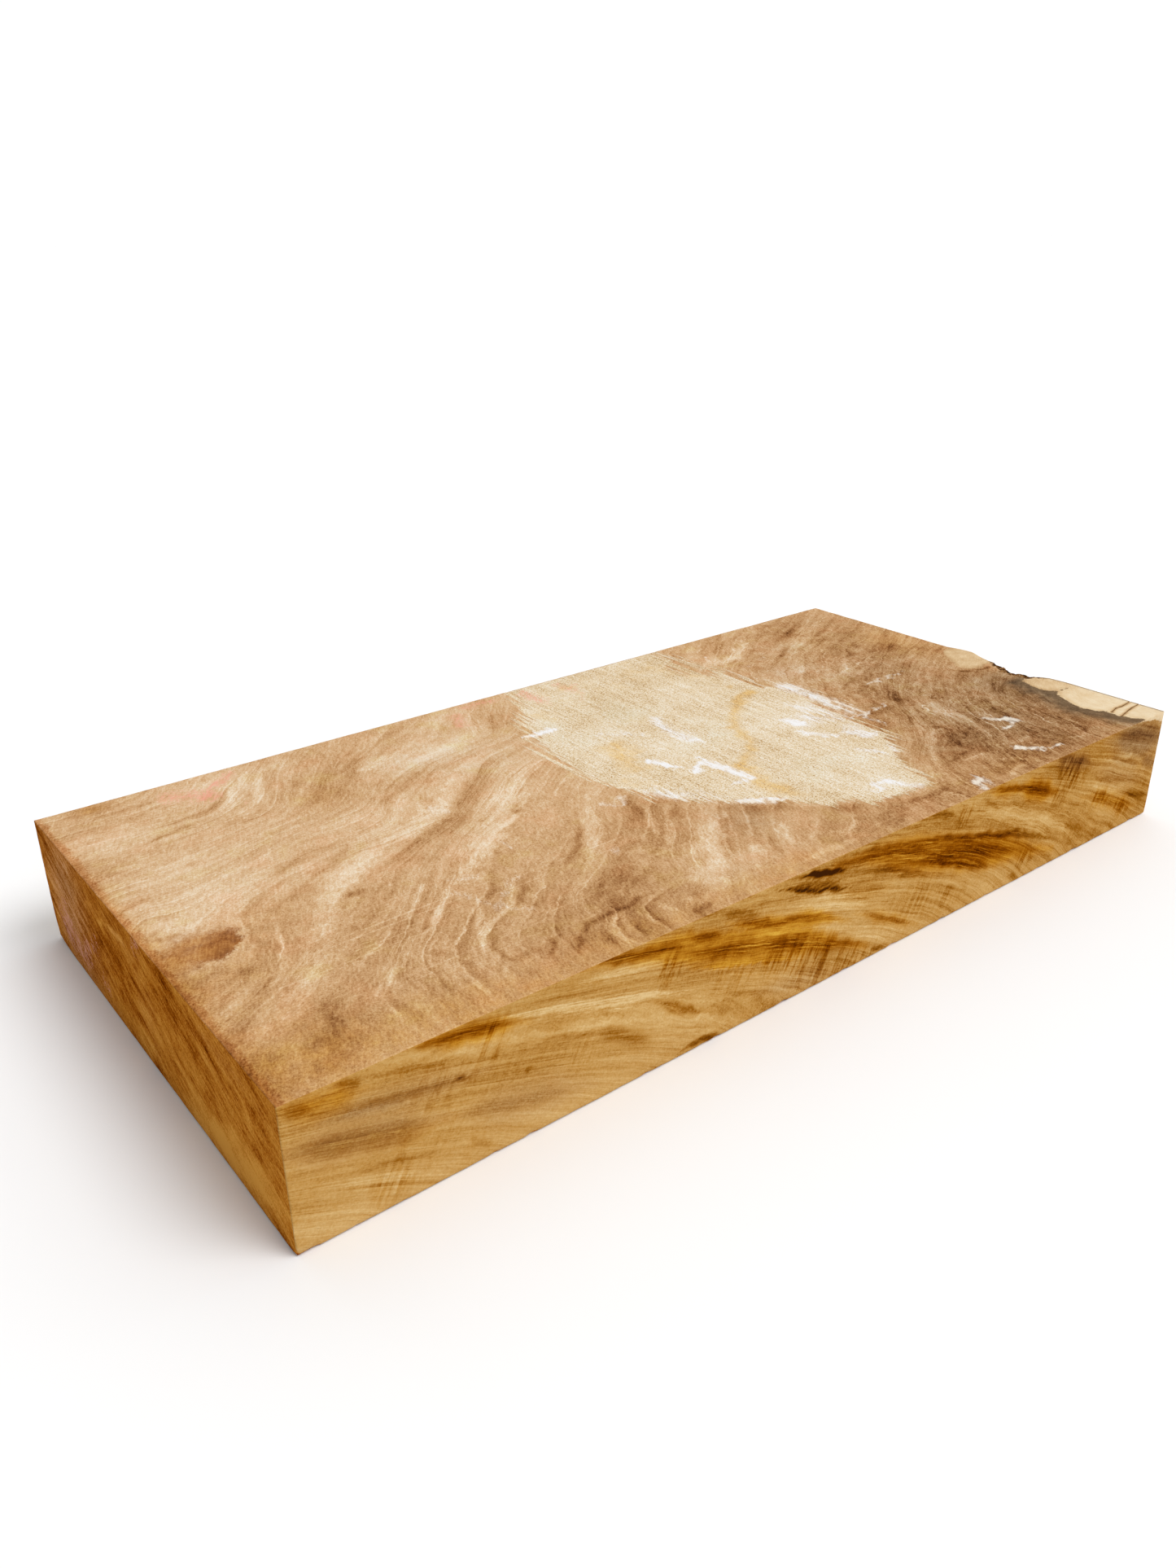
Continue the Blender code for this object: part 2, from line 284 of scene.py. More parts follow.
SAWN_AMBER_WASHES = [
    (60, 125, 80, 32, 0, 0.22), (60, -20, 50, 30, 40, 0.15), (80, 110, 40, 30, 0, 0.1),
    (10, -50, 26, 40, 0, 0.2), (-10, 110, 24, 40, 0, 0.12), (-15, 13, 25, 38, 0, 0.316),
    (66, -100, 40, 20, 0, 0.15), (128, 100, 18, 40, 0, 0.3), (110, 30, 30, 20, 30, 0.18),
    (100, 136, 26, 22, 0, 0.18), (135, -50, 14, 40, 0, 0.2), (30, -80, 30, 16, 0, 0.22),
]
SAWN_GREEN = [
    (38, 82, 26, 34, 0, 0.5), (62, 10, 40, 18, 30, 0.3), (70, -70, 30, 24, 0, 0.3), (-12, 70, 16, 40, 0, 0.3),
]

# Pale sapwood at the right end, on both sides of the bark pocket
SAPWOOD = [
    [(330, 19), (318, 17), (308, 16), (303, 10), (297, 1), (291, -7), (287, -15), (290, -22), (300, -25),
     (310, -23), (330, -21)],
    [(330, -57), (318, -58), (311, -58), (303, -59.5), (297, -62), (294.5, -69), (292.5, -78), (294, -85),
     (298, -89), (292, -93), (288, -101), (283.5, -110), (282.5, -117), (284, -124), (288.5, -131),
     (287.5, -141), (291, -148), (296, -155), (297, -160), (330, -160)],
]

# Strokes and washes of the figure: tone goes from 0, dark, to 1, pale
TOP_TONE = 0.62
TOP_WASHES = [
    (0, -150, 400, 30, 0, -0.05), (245, 45, 100, 100, 0, -0.16), (215, -100, 62, 62, 0, -0.25),
    (-289, 111, 72, 31, 13, 0.088), (-141, -115, 58, 35, 11, -0.135), (-252, 56, 63, 31, 11, 0.127),
    (-200, 118, 50, 34, 0, 0.035), (-168, 20, 94, 17, 0, 0.11), (-240, -55, 60, 26, 45, -0.03),
    (285, 105, 40, 36, 0, -0.06), (-62, -62, 55, 26, 35, -0.07), (195, -140, 70, 20, 0, -0.07),
    (-281, -132, 51, 27, 29, -0.109), (-285, 5, 50, 26, 8, 0.2), (193, 49, 39, 27, 0, 0.134),
    (300, 50, 22, 45, 0, 0.13), (-320, 40, 7, 130, 0, -0.04), (155, 119, 22, 37, 0, 0.092),
    (-65, 136, 43, 18, 8, 0.08), (-318, -75, 9, 80, 0, -0.07), (-81, 57, 42, 17, 9, 0.235),
    (200, -30, 26, 26, 0, -0.1), (103, -146, 42, 16, 0, -0.165), (-93, 97, 44, 15, 12, 0.298),
    (-174, 85, 32, 19, 40, -0.117), (-13, -98, 31, 14, 0, -0.084), (-55, -120, 30, 14, -30, 0.08),
    (-150, 52, 26, 16, 0, 0.06), (-221, 136, 22, 18, 0, 0.177), (276, -98, 13, 30, 10, -0.16),
    (284, -70, 15, 26, 25, -0.15), (-140, -20, 24, 16, 0, 0.035), (22, -140, 24, 16, 0, -0.08),
    (-20, 128, 14, 26, 20, -0.1), (-100, -98, 20, 18, 0, -0.055), (262, 10, 12, 30, -10, -0.04),
    (220, 98, 21, 17, 0, 0.127), (225, -20, 22, 16, 0, 0.06), (-21, 137, 19, 18, 0, 0.171),
    (260, -136, 20, 17, 0, -0.096), (273, -58, 24, 14, 0, -0.106), (142, -100, 18, 18, 0, -0.08),
    (-261, -20, 20, 16, 0, -0.105), (-182, 132, 20, 16, 0, 0.06), (-180, -58, 20, 16, 0, 0.035),
    (-140, -136, 20, 16, 0, -0.045), (-100, -58, 20, 16, 0, -0.05), (-60, -138, 20, 16, 0, 0.03),
    (262, -20, 20, 16, 0, -0.04), (-301, -61, 19, 16, 0, -0.11), (220, 20, 18, 16, 0, 0.04),
    (180, -138, 20, 14, 0, -0.09), (222, -133, 20, 14, 20, -0.076), (172, -93, 20, 12, 30, -0.12),
    (244, -103, 12, 20, 10, -0.08), (-260, -95, 17, 14, 0, 0.08), (301, 22, 17, 14, 0, -0.257),
    (260, -100, 16, 14, 0, 0.05), (300, 60, 16, 14, 0, 0.045), (285, -135, 9, 24, 5, -0.14),
    (178, -59, 15, 14, 0, -0.133), (-205, -8, 20, 10, 30, 0.08), (290, 48, 12, 16, 0, -0.1),
    (192, -104, 18, 10, 20, -0.07), (-181, 41, 22, 8, 5, 0.14), (206, -22, 14, 12, 40, -0.07),
    (242, 124, 20, 8, 25, -0.05), (292, -52, 12, 13, 0, -0.12), (157, -47, 10, 15, 0, -0.09),
    (-312, 66, 9, 16, 0, -0.05), (208, -60, 9, 16, 0, 0.05), (144, -62, 12, 11, -63, -0.078),
    (152, -115, 22, 6, 14, -0.12), (290, -29, 14, 9, -6, -0.168), (-290, 149, 12, 8, 0, -0.22),
    (160, -126, 14, 6, 0, 0.07), (-308, 80, 14, 5, 0, -0.08), (178, -116, 12, 5, 20, -0.06),
]
TOP_STROKES = [
    (2.2, -0.18, [(-212, -27), (-168, -1), (-140, 8), (-125, 20), (-107, 38), (-94, 51), (-80, 60),
                  (-60, 67)]),
    (2.0, -0.16, [(134, -118), (150, -116), (164, -112), (174, -104)]),
    (1.6, -0.14, [(164, -96), (174, -88), (186, -84)]), (2.0, -0.22, [(278, -18), (284, -23), (290, -25)]),
    (1.6, -0.22, [(290, -26), (300, -28), (309, -26)]), (1.6, 0.16, [(146, -122), (160, -121), (176, -124)]),
    (1.6, 0.14, [(140, -150), (160, -149), (180, -147)]),
    (1.8, 0.20, [(154, -84), (169, -69), (184, -56), (200, -38)]),
    (1.6, 0.20, [(206, -42), (201, -62), (208, -76), (217, -88)]),
    (1.6, 0.16, [(150, -98), (166, -84), (180, -80), (192, -88)]),
    (1.6, 0.16, [(176, -112), (190, -122), (208, -124), (222, -116)]),
    (1.6, 0.15, [(196, -150), (212, -140), (232, -142), (250, -152)]),
    (1.8, 0.14, [(160, -128), (176, -140), (184, -154)]),
    (1.8, -0.16, [(160, -110), (176, -98), (196, -94), (210, -104)]),
    (1.8, -0.14, [(166, -66), (180, -78), (186, -92)]), (3.0, -0.08, [(-318, 96), (-310, 98), (-300, 97)]),
    (3.0, -0.08, [(-318, 66), (-310, 67), (-301, 64)]), (3.0, -0.07, [(-316, 32), (-308, 30), (-300, 31)]),
    (3.0, -0.08, [(-318, -10), (-308, -13), (-298, -12)]),
    (3.0, -0.08, [(-316, -84), (-308, -78), (-300, -70)]),
    (3.0, -0.08, [(-317, -112), (-308, -102), (-299, -92)]),
    (6.0, -0.14, [(-214, -28), (-198, -17), (-168, -4), (-151, 0), (-136, 6), (-125, 17), (-107, 34),
                  (-94, 47), (-81, 58), (-60, 64), (-38, 70), (-20, 80)]),
    (2.6, -0.14, [(-183, 28), (-168, 33), (-160, 40), (-157, 50), (-148, 55), (-135, 65), (-110, 80),
                  (-95, 85)]),
    (2.2, -0.14, [(-145, 42), (-130, 55), (-115, 68), (-90, 80)]),
    (2.0, -0.14, [(-300, 135), (-285, 136), (-255, 138)]),
    (2.0, -0.12, [(-285, 125), (-265, 127), (-250, 129)]),
    (2.4, -0.20, [(-282, 103), (-262, 103), (-242, 103), (-230, 112), (-215, 130), (-200, 145)]),
    (2.0, -0.14, [(-284, 87), (-262, 92), (-243, 93)]), (2.4, -0.13, [(-245, 79), (-230, 81), (-213, 81)]),
    (3.0, -0.12, [(-198, 118), (-193, 128), (-184, 140)]),
    (3.0, -0.10, [(-165, 122), (-155, 135), (-146, 146)]),
    (2.4, -0.12, [(-160, 102), (-145, 112), (-128, 119)]),
    (4.0, -0.14, [(-248, 6), (-232, 18), (-215, 23), (-190, 22)]),
    (3.5, -0.12, [(-216, 4), (-205, 12), (-194, 18)]),
    (2.4, -0.17, [(-190, -62), (-200, -72), (-212, -81), (-226, -90), (-235, -102), (-238, -114),
                  (-236, -130)]),
    (5.0, -0.10, [(-163, -18), (-180, -35), (-190, -50), (-205, -65), (-220, -78), (-240, -92),
                  (-262, -104)]),
    (2.4, -0.11, [(-155, -62), (-164, -71), (-173, -80)]),
    (3.0, -0.12, [(-142, -68), (-152, -80), (-158, -90), (-154, -102)]),
    (5.0, -0.08, [(-170, -110), (-165, -118), (-158, -122)]),
    (2.0, -0.20, [(-181, -139), (-172, -132), (-162, -126)]),
    (2.4, -0.11, [(-165, -152), (-166, -139), (-154, -131), (-139, -126)]),
    (2.0, -0.12, [(-150, -155), (-148, -145), (-144, -134)]),
    (2.0, -0.14, [(-133, -155), (-132, -145), (-127, -135)]),
    (2.0, -0.12, [(-122, -155), (-121, -147), (-117, -138)]),
    (8.0, -0.07, [(-270, -106), (-278, -118), (-290, -134)]),
    (7.0, -0.06, [(-266, -99), (-255, -104), (-243, -108)]),
    (4.0, -0.15, [(-40, -22), (-48, -40), (-54, -52), (-61, -62)]),
    (4.0, -0.15, [(-28, -52), (-34, -62), (-42, -74)]), (3.0, -0.13, [(-40, -83), (-50, -92), (-60, -99)]),
    (4.0, -0.15, [(-28, -93), (-38, -104), (-46, -116), (-62, -133)]),
    (7.0, -0.16, [(-16, -72), (0, -86), (16, -97), (22, -110)]),
    (6.0, -0.15, [(32, -112), (42, -120), (54, -122)]),
    (3.0, -0.13, [(66, -136), (86, -138), (104, -139), (118, -134)]),
    (4.0, -0.16, [(217, -2), (208, -14), (198, -30), (188, -40)]),
    (5.0, -0.14, [(160, -34), (175, -36), (192, -34)]),
    (5.0, -0.14, [(182, -82), (172, -95), (166, -106), (164, -118)]),
    (2.4, -0.12, [(232, -110), (236, -90), (242, -72), (254, -54)]),
    (2.4, -0.12, [(250, -140), (253, -118), (260, -94), (270, -76)]),
    (2.4, -0.10, [(218, -135), (224, -112), (232, -88), (240, -68), (252, -48)]),
    (4.0, -0.16, [(163, 110), (172, 122), (184, 133), (202, 141)]),
    (4.0, -0.12, [(240, 114), (252, 122), (264, 131)]), (4.0, -0.11, [(162, 66), (170, 76), (178, 84)]),
    (6.0, -0.11, [(276, 36), (286, 48), (296, 62)]), (2.0, -0.12, [(233, 21), (244, 25), (256, 31)]),
    (2.0, -0.10, [(178, 5), (200, 14), (222, 24)]), (2.2, -0.11, [(196, 78), (214, 92), (236, 104)]),
    (6.0, 0.13, [(-322, -122), (-300, -109), (-280, -95), (-262, -74), (-250, -57), (-238, -38), (-222, -19),
                 (-207, -6), (-187, 4), (-162, 13), (-142, 22), (-124, 40), (-108, 56), (-92, 70)]),
    (8.0, 0.19, [(-52, 46), (-66, 40), (-81, 28), (-103, 6), (-125, -15), (-146, -30), (-164, -46),
                 (-184, -60)]),
    (6.0, -0.08, [(-190, -28), (-202, -39), (-222, -54), (-237, -70), (-251, -88), (-271, -106), (-290, -127),
                  (-310, -147)]),
    (6.0, -0.08, [(-262, -16), (-270, -38), (-278, -62), (-290, -78), (-312, -98)]),
    (1.8, 0.14, [(-258, -18), (-264, -38), (-271, -60), (-283, -76), (-300, -92)]),
    (2.4, -0.14, [(-74, -35), (-90, -46), (-107, -64), (-123, -76), (-125, -84)]),
    (1.8, -0.13, [(-97, -86), (-108, -93), (-119, -100), (-128, -110), (-126, -119)]),
    (8.0, -0.10, [(-94, -92), (-104, -100), (-114, -110)]),
    (3.0, -0.13, [(-182, -98), (-192, -113), (-194, -123), (-188, -129), (-166, -127)]),
    (2.0, -0.18, [(-90, -120), (-108, -123), (-124, -125), (-143, -126), (-158, -133), (-165, -142),
                  (-170, -155)]),
    (6.0, -0.08, [(-160, -134), (-150, -139), (-143, -146)]),
    (1.8, 0.20, [(-141, -130), (-143, -142), (-144, -154)]),
    (1.6, 0.16, [(-131, -128), (-133, -140), (-135, -152)]),
    (1.6, 0.16, [(-120, -127), (-122, -140), (-122, -152)]),
    (1.8, 0.16, [(-112, -126), (-108, -138), (-104, -148)]),
    (2.0, 0.20, [(-170, -70), (-186, -90), (-194, -106), (-197, -117), (-196, -127), (-202, -136),
                 (-201, -150)]),
    (2.0, -0.12, [(-106, -152), (-98, -150), (-84, -147)]),
    (7.0, 0.16, [(-86, -124), (-74, -132), (-60, -140)]), (2.4, -0.08, [(-196, 72), (-180, 84), (-170, 100)]),
    (2.4, -0.08, [(-184, 68), (-168, 80), (-156, 96)]), (3.0, -0.08, [(-158, 92), (-150, 100), (-140, 106)]),
    (4.0, 0.14, [(-150, 92), (-135, 104), (-112, 112)]),
    (3.0, -0.13, [(-205, 100), (-196, 118), (-180, 140)]),
    (3.0, 0.12, [(-212, 96), (-204, 118), (-192, 142)]),
    (4.0, 0.14, [(-240, 96), (-228, 104), (-222, 118), (-212, 140)]),
    (3.0, -0.12, [(-120, 128), (-100, 140), (-84, 152)]),
    (4.0, 0.10, [(-140, 122), (-122, 138), (-108, 152)]), (3.0, -0.12, [(-52, 92), (-42, 110), (-30, 132)]),
    (2.4, 0.13, [(-20, -128), (-34, -118), (-30, -140)]),
    (3.0, -0.14, [(-8, -108), (-20, -124), (-28, -142)]), (2.4, 0.13, [(4, -104), (-6, -118), (-14, -136)]),
    (2.0, 0.20, [(-172, -46), (-185, -60), (-195, -70), (-205, -80), (-222, -87), (-232, -97), (-243, -107),
                 (-252, -113), (-254, -125), (-254, -152)]),
    (1.8, 0.18, [(-186, -40), (-198, -53), (-206, -63), (-216, -74)]),
    (2.0, 0.20, [(-135, -60), (-150, -70), (-160, -82), (-172, -92), (-190, -102), (-198, -115), (-200, -130),
                 (-203, -145)]),
    (1.8, 0.18, [(-143, -155), (-140, -138), (-133, -128), (-118, -126)]),
    (2.0, 0.14, [(-212, -100), (-217, -115), (-216, -135), (-218, -152)]),
    (4.5, 0.15, [(-60, -20), (-80, -42), (-100, -70), (-116, -84)]),
    (1.8, 0.17, [(-42, -38), (-48, -55), (-58, -70), (-63, -82)]),
    (1.8, 0.16, [(-44, -60), (-50, -72), (-58, -82), (-66, -94)]),
    (8.0, 0.18, [(-14, -80), (-28, -86), (-40, -94), (-50, -105), (-57, -120), (-78, -130), (-88, -142)]),
    (2.5, 0.13, [(-34, -149), (0, -147), (28, -148)]), (3.0, 0.12, [(8, -134), (22, -138), (38, -133)]),
    (3.0, 0.18, [(-99, -133), (-94, -141), (-89, -150)]),
    (5.0, 0.14, [(224, -10), (218, -24), (212, -40), (206, -60), (205, -80), (196, -105), (182, -122)]),
    (2.2, 0.14, [(200, -38), (180, -62), (160, -85), (135, -110), (124, -122)]),
    (1.8, 0.12, [(168, -84), (158, -91), (149, -97)]), (4.0, 0.14, [(240, -148), (246, -146), (253, -148)]),
    (5.0, 0.17, [(153, 102), (168, 105), (182, 109), (198, 122), (216, 133)]),
    (5.0, 0.14, [(213, 83), (225, 95), (250, 105), (270, 118), (292, 129)]),
    (6.0, 0.13, [(183, 50), (194, 56), (207, 62)]), (3.0, 0.12, [(220, 39), (230, 45), (240, 53)]),
    (2.2, 0.14, [(198, 27), (212, 32), (225, 35), (248, 40), (272, 46)]),
    (2.0, 0.12, [(208, 19), (235, 28), (264, 37)]), (2.4, 0.12, [(268, 19), (285, 26), (302, 36)]),
]

# How amber, grey or pink the top is
TOP_AMBER_WASHES = [
    (-296, -59, 36, 43, 0, 0.203), (240, 90, 50, 30, 30, 0.2), (300, 55, 30, 50, 0, 0.35),
    (-20, -156, 120, 12, 0, 0.15), (-150, -150, 60, 22, 0, 0.28), (-300, -138, 40, 30, 20, 0.42),
    (-235, -148, 48, 25, 0, 0.366), (200, -120, 40, 30, 0, 0.1), (-319, -60, 9, 110, 0, 0.25),
    (-140, -120, 30, 30, 0, 0.08), (-320, 70, 8, 110, 0, 0.22), (260, -20, 30, 26, 0, 0.08),
    (-40, -145, 60, 12, 0, 0.25), (-180, 85, 24, 18, 45, 0.2), (-262, -20, 20, 16, 0, 0.1),
    (160, -144, 40, 8, 0, 0.22), (-290, 149, 12, 8, 0, 0.4),
]
TOP_GREY_WASHES = [
    (235, -10, 80, 110, 0, 0.5), (222, -106, 77, 50, 0, 0.545), (-80, 80, 70, 30, 0, 0.16),
    (-200, 118, 46, 34, 0, 0.12), (-60, 130, 60, 26, 0, 0.14), (290, 96, 40, 26, 20, 0.25),
    (-120, 98, 40, 22, 0, 0.14), (280, 136, 40, 20, 0, 0.18), (-12, -92, 26, 28, -40, 0.45),
    (-80, 58, 40, 18, 0, 0.1), (180, 60, 24, 20, 0, 0.24), (220, 98, 24, 20, 0, 0.22),
    (284, -72, 15, 30, 20, 0.95), (160, -98, 26, 16, 0, 0.14), (-60, -138, 22, 18, 0, 0.18),
    (278, -98, 12, 30, 10, 0.45), (70, -146, 34, 10, 0, 0.18), (-272, -122, 20, 16, 30, 0.25),
    (286, -132, 8, 26, 5, 0.6), (294, -50, 12, 14, 0, 0.7),
]
BLOTCH_MIDDLE = (-298.0, -31.0)
BLOTCH_REACH = (20.0, 14.5)
BLOTCH_DARK_SIDE = (0.83, -0.56)
STAINS = [
    (-219, -31, 5.0, 3.0, 0, 0.34), (-104, -6, 3.0, 1.8, 0, 0.42), (-314, -36, 8, 9, 0, 0.12),
    (-292, -62, 7, 4, 20, 0.17), (-300, -56, 7, 3, 0, 0.08), (-308, -12, 7, 2, -10, 0.10),
    (-311, -5, 4, 2, 10, 0.08), (-306, 132, 2, 1.4, 0, 0.20), (-314, 95, 2, 1.2, 0, 0.20),
    (-236, 58, 1.6, 1.2, 0, 0.18), (-298, 52, 1.8, 1.2, 0, 0.18), (-199, 18, 1.5, 1.5, 0, 0.20),
    (-170, 150, 2, 1.5, 0, 0.16), (-311, -6, 5, 2, 20, 0.14), (-303, -13, 6, 1.8, 0, 0.14),
    (-217, -103, 1.6, 2.4, 0, 0.16), (-314, -126, 7, 8, 0, 0.08), (-313, -55, 3, 8, 0, 0.06),
]

FRONT_TONE = 0.64
FRONT_AMBER_BASE = 0.08
FRONT_WASHES = [
    (285, 45, 50, 40, 0, -0.07), (-120, 16, 65, 16, 0, 0.096), (-190, 25, 60, 14, -15, -0.04),
    (-287, 10, 52, 14, 0, 0.141), (70, 24, 60, 12, -18, 0.04), (-205, 4, 60, 8, 0, 0.08),
    (-60, 15, 40, 12, -15, -0.04), (130, 10, 50, 9, -15, 0.02), (300, 64, 34, 12, -24, -0.11),
    (-6, 44, 35, 11, -17, 0.088), (-89, 31, 29, 12, -7, 0.043), (0, 67, 40, 8, 0, -0.09),
    (160, 46, 40, 8, 0, -0.06), (302, 15, 20, 16, 0, -0.13), (214, 65, 26, 12, -9, -0.156),
    (278, 66, 33, 9, 0, -0.098), (-305, 66, 22, 12, -10, -0.09), (122, 38, 32, 7, -19, -0.05),
    (17, 63, 20, 10, -13, -0.064), (172, 66, 22, 9, 0, -0.05), (-19, 68, 24, 8, -12, -0.115),
    (-261, 67, 19, 9, 0, -0.124), (-99, 66, 21, 8, 0, -0.099), (220, 9, 18, 9, 0, -0.055),
    (262, 9, 18, 9, 0, -0.03), (-222, 66, 20, 8, 0, 0.035), (-180, 47, 20, 8, 0, 0.035),
    (140, 28, 20, 8, 0, -0.079), (-180, 28, 19, 8, 0, 0.07), (-100, 47, 19, 8, 0, -0.105),
    (-60, 46, 19, 8, 0, 0.18), (-20, 28, 19, 8, 0, 0.14), (20, 47, 19, 8, 0, -0.116),
    (-300, 28, 18, 8, 0, 0.035), (-60, 28, 18, 8, 0, -0.045), (100, 66, 18, 8, 0, 0.03),
    (220, 28, 18, 8, 0, 0.03), (-20, 10, 16, 8, 0, -0.03), (80, 50, 12, 6, 0, -0.04),
    (-150, 50, 10, 5, 0, -0.05), (-290, 20, 9, 5, 0, -0.055),
]
FRONT_STROKES = [
    (3.4, -0.34, [(-264, 76), (-250, 72.7), (-238, 71), (-229, 69.7), (-217, 66.8), (-208, 63)]),
    (3.5, -0.16, [(-318, 73), (-312, 70), (-306, 66)]), (4.0, -0.16, [(-296, 74), (-290, 71), (-284, 67)]),
    (7.0, -0.20, [(-324, 53), (-305, 48), (-290, 44), (-276, 39), (-261, 34), (-247, 31)]),
    (4.5, -0.13, [(-250, 31), (-229, 27), (-210, 21), (-195, 18), (-175, 11)]),
    (3.0, -0.12, [(-311, 61), (-290, 58), (-261, 53), (-240, 50), (-226, 47)]),
    (1.6, -0.40, [(-243, 49.5), (-239, 49), (-234, 48)]), (2.0, -0.20, [(-208, 37), (-205, 36), (-202, 35)]),
    (4.5, -0.20, [(-172, 43), (-159, 36), (-147, 27), (-137, 20), (-126, 14)]),
    (2.4, -0.36, [(-132, 41), (-129, 39), (-120, 33), (-109, 26), (-98, 20)]),
    (2.0, -0.18, [(-240, 16), (-232, 11), (-223, 3.7)]),
    (3.2, -0.36, [(-172, 77), (-151, 72.7), (-137, 69), (-122, 66.8), (-108, 61)]),
    (5.8, -0.37, [(-125, 66), (-110, 60), (-95, 54), (-80, 50), (-66, 46), (-51, 41), (-36, 36), (-22, 30),
                  (-7, 23), (7, 18), (22, 11), (36, 4)]),
    (2.4, -0.25, [(-112, 68), (-95, 62), (-84, 59)]),
    (2.4, -0.27, [(-84, 65), (-66, 58), (-51, 52), (-36, 50), (-22, 45), (-7, 39), (6, 33)]),
    (1.8, -0.22, [(-92, 72), (-76, 68), (-60, 62)]),
    (1.6, -0.60, [(-57, 74), (-46, 70.4), (-35, 66), (-22, 61.2), (-8, 57), (4, 53.6), (16, 51)]),
    (1.7, -0.74, [(-38, 74.6), (-24, 71.2), (-8, 68), (6, 64)]),
    (1.4, -0.26, [(-42, 71), (-26, 66.4), (-12, 62.6), (2, 59.6)]),
    (2.2, -0.24, [(-80, 65), (-66, 60), (-50, 53)]),
    (2.8, -0.36, [(-6, 74), (20, 71), (36, 68), (51, 64), (66, 60), (81, 57), (95, 53.6), (110, 48),
                  (129, 44), (144, 39.7), (159, 36), (173, 30), (188, 24), (203, 18.4), (213, 12.5),
                  (228, 5)]),
    (6.8, -0.35, [(-4, 70), (29, 65), (44, 60), (59, 55), (73, 50), (88, 45), (103, 41), (120, 37), (144, 30),
                  (160, 24), (180, 17)]),
    (2.6, -0.42, [(58, 50), (66, 47), (81, 43), (95, 37.5), (110, 31.6), (122, 26), (138, 20)]),
    (3.5, -0.28, [(102, 36), (115, 30), (124, 26), (138, 19)]),
    (3.0, -0.22, [(10, 61), (29, 55), (44, 50.7), (51, 46), (66, 40), (84, 31)]),
    (1.8, -0.28, [(13, 35), (29, 27), (42, 20), (54, 14), (70, 6)]),
    (2.2, -0.32, [(62, 75), (81, 72.7), (95, 67), (103, 64)]),
    (2.0, -0.45, [(-114, 4), (-100, 3.4), (-84, 2)]), (2.0, -0.28, [(27, 5), (38, 3), (48, 2)]),
    (5.0, -0.26, [(158, 67), (173, 61), (182, 58), (198, 51)]),
    (2.0, -0.30, [(124, 74), (144, 69.7), (161, 66), (180, 61), (198, 55)]),
    (1.8, -0.18, [(119, 73), (129, 65), (141, 57)]),
    (3.0, -0.24, [(188, 76), (205, 72.7), (217, 68), (228, 65), (239, 59)]),
    (3.4, -0.15, [(234, 38), (255, 31.6), (269, 24), (283, 18.4), (302, 11)]),
    (2.2, -0.20, [(281, 28), (305, 18.4), (324, 13)]), (2.4, -0.14, [(210, 28), (227, 18.4), (243, 12)]),
    (4.0, -0.19, [(248, 77), (268, 72), (288, 67), (304, 61), (334, 50)]),
    (2.0, -0.20, [(290, 73), (306, 67), (332, 54)]),
    (1.8, -0.18, [(270, 62), (290, 54), (312, 43), (332, 30)]),
    (2.6, -0.20, [(298, 48), (306, 44), (325, 36)]), (2.0, -0.17, [(234, 53), (262, 42), (292, 32)]),
    (2.0, -0.17, [(248, 63), (275, 53), (302, 43)]), (1.8, -0.15, [(198, 46), (225, 36), (252, 25)]),
    (2.4, -0.20, [(156, 8), (162, 5), (170, 1)]), (1.8, -0.14, [(-300, 30), (-270, 22), (-244, 14)]),
    (1.8, -0.13, [(-200, 50), (-180, 44), (-160, 37)]), (1.8, -0.13, [(-90, 26), (-64, 16), (-40, 6)]),
    (1.8, -0.15, [(84, 26), (104, 18), (124, 8)]),
    (3.0, 0.32, [(-216, 70), (-208, 67), (-188, 61), (-173, 56.5), (-159, 51.4), (-144, 47.7), (-129, 44),
                 (-110, 36)]),
    (2.6, 0.18, [(-178, 70), (-152, 66), (-137, 63), (-119, 58)]),
    (3.5, 0.12, [(-192, 51), (-165, 43), (-138, 33)]),
    (3.4, 0.18, [(-42, 59), (-10, 50), (10, 42), (32, 35)]), (2.0, 0.18, [(-72, 53), (-45, 45), (-18, 37)]),
    (5.0, 0.20, [(106, 73), (122, 63), (144, 54), (159, 49), (173, 40), (191, 33), (210, 24), (228, 14)]),
    (4.0, 0.12, [(-2, 26), (30, 16), (62, 5)]), (3.0, 0.12, [(-302, 25), (-280, 18), (-260, 11)]),
    (2.4, 0.15, [(234, 46), (258, 38), (284, 28)]), (2.0, 0.16, [(240, 62), (268, 55), (300, 50)]),
    (2.0, 0.22, [(8, 66), (36, 61), (62, 52), (90, 41)]), (1.8, 0.14, [(-104, 46), (-80, 40), (-58, 34)]),
]
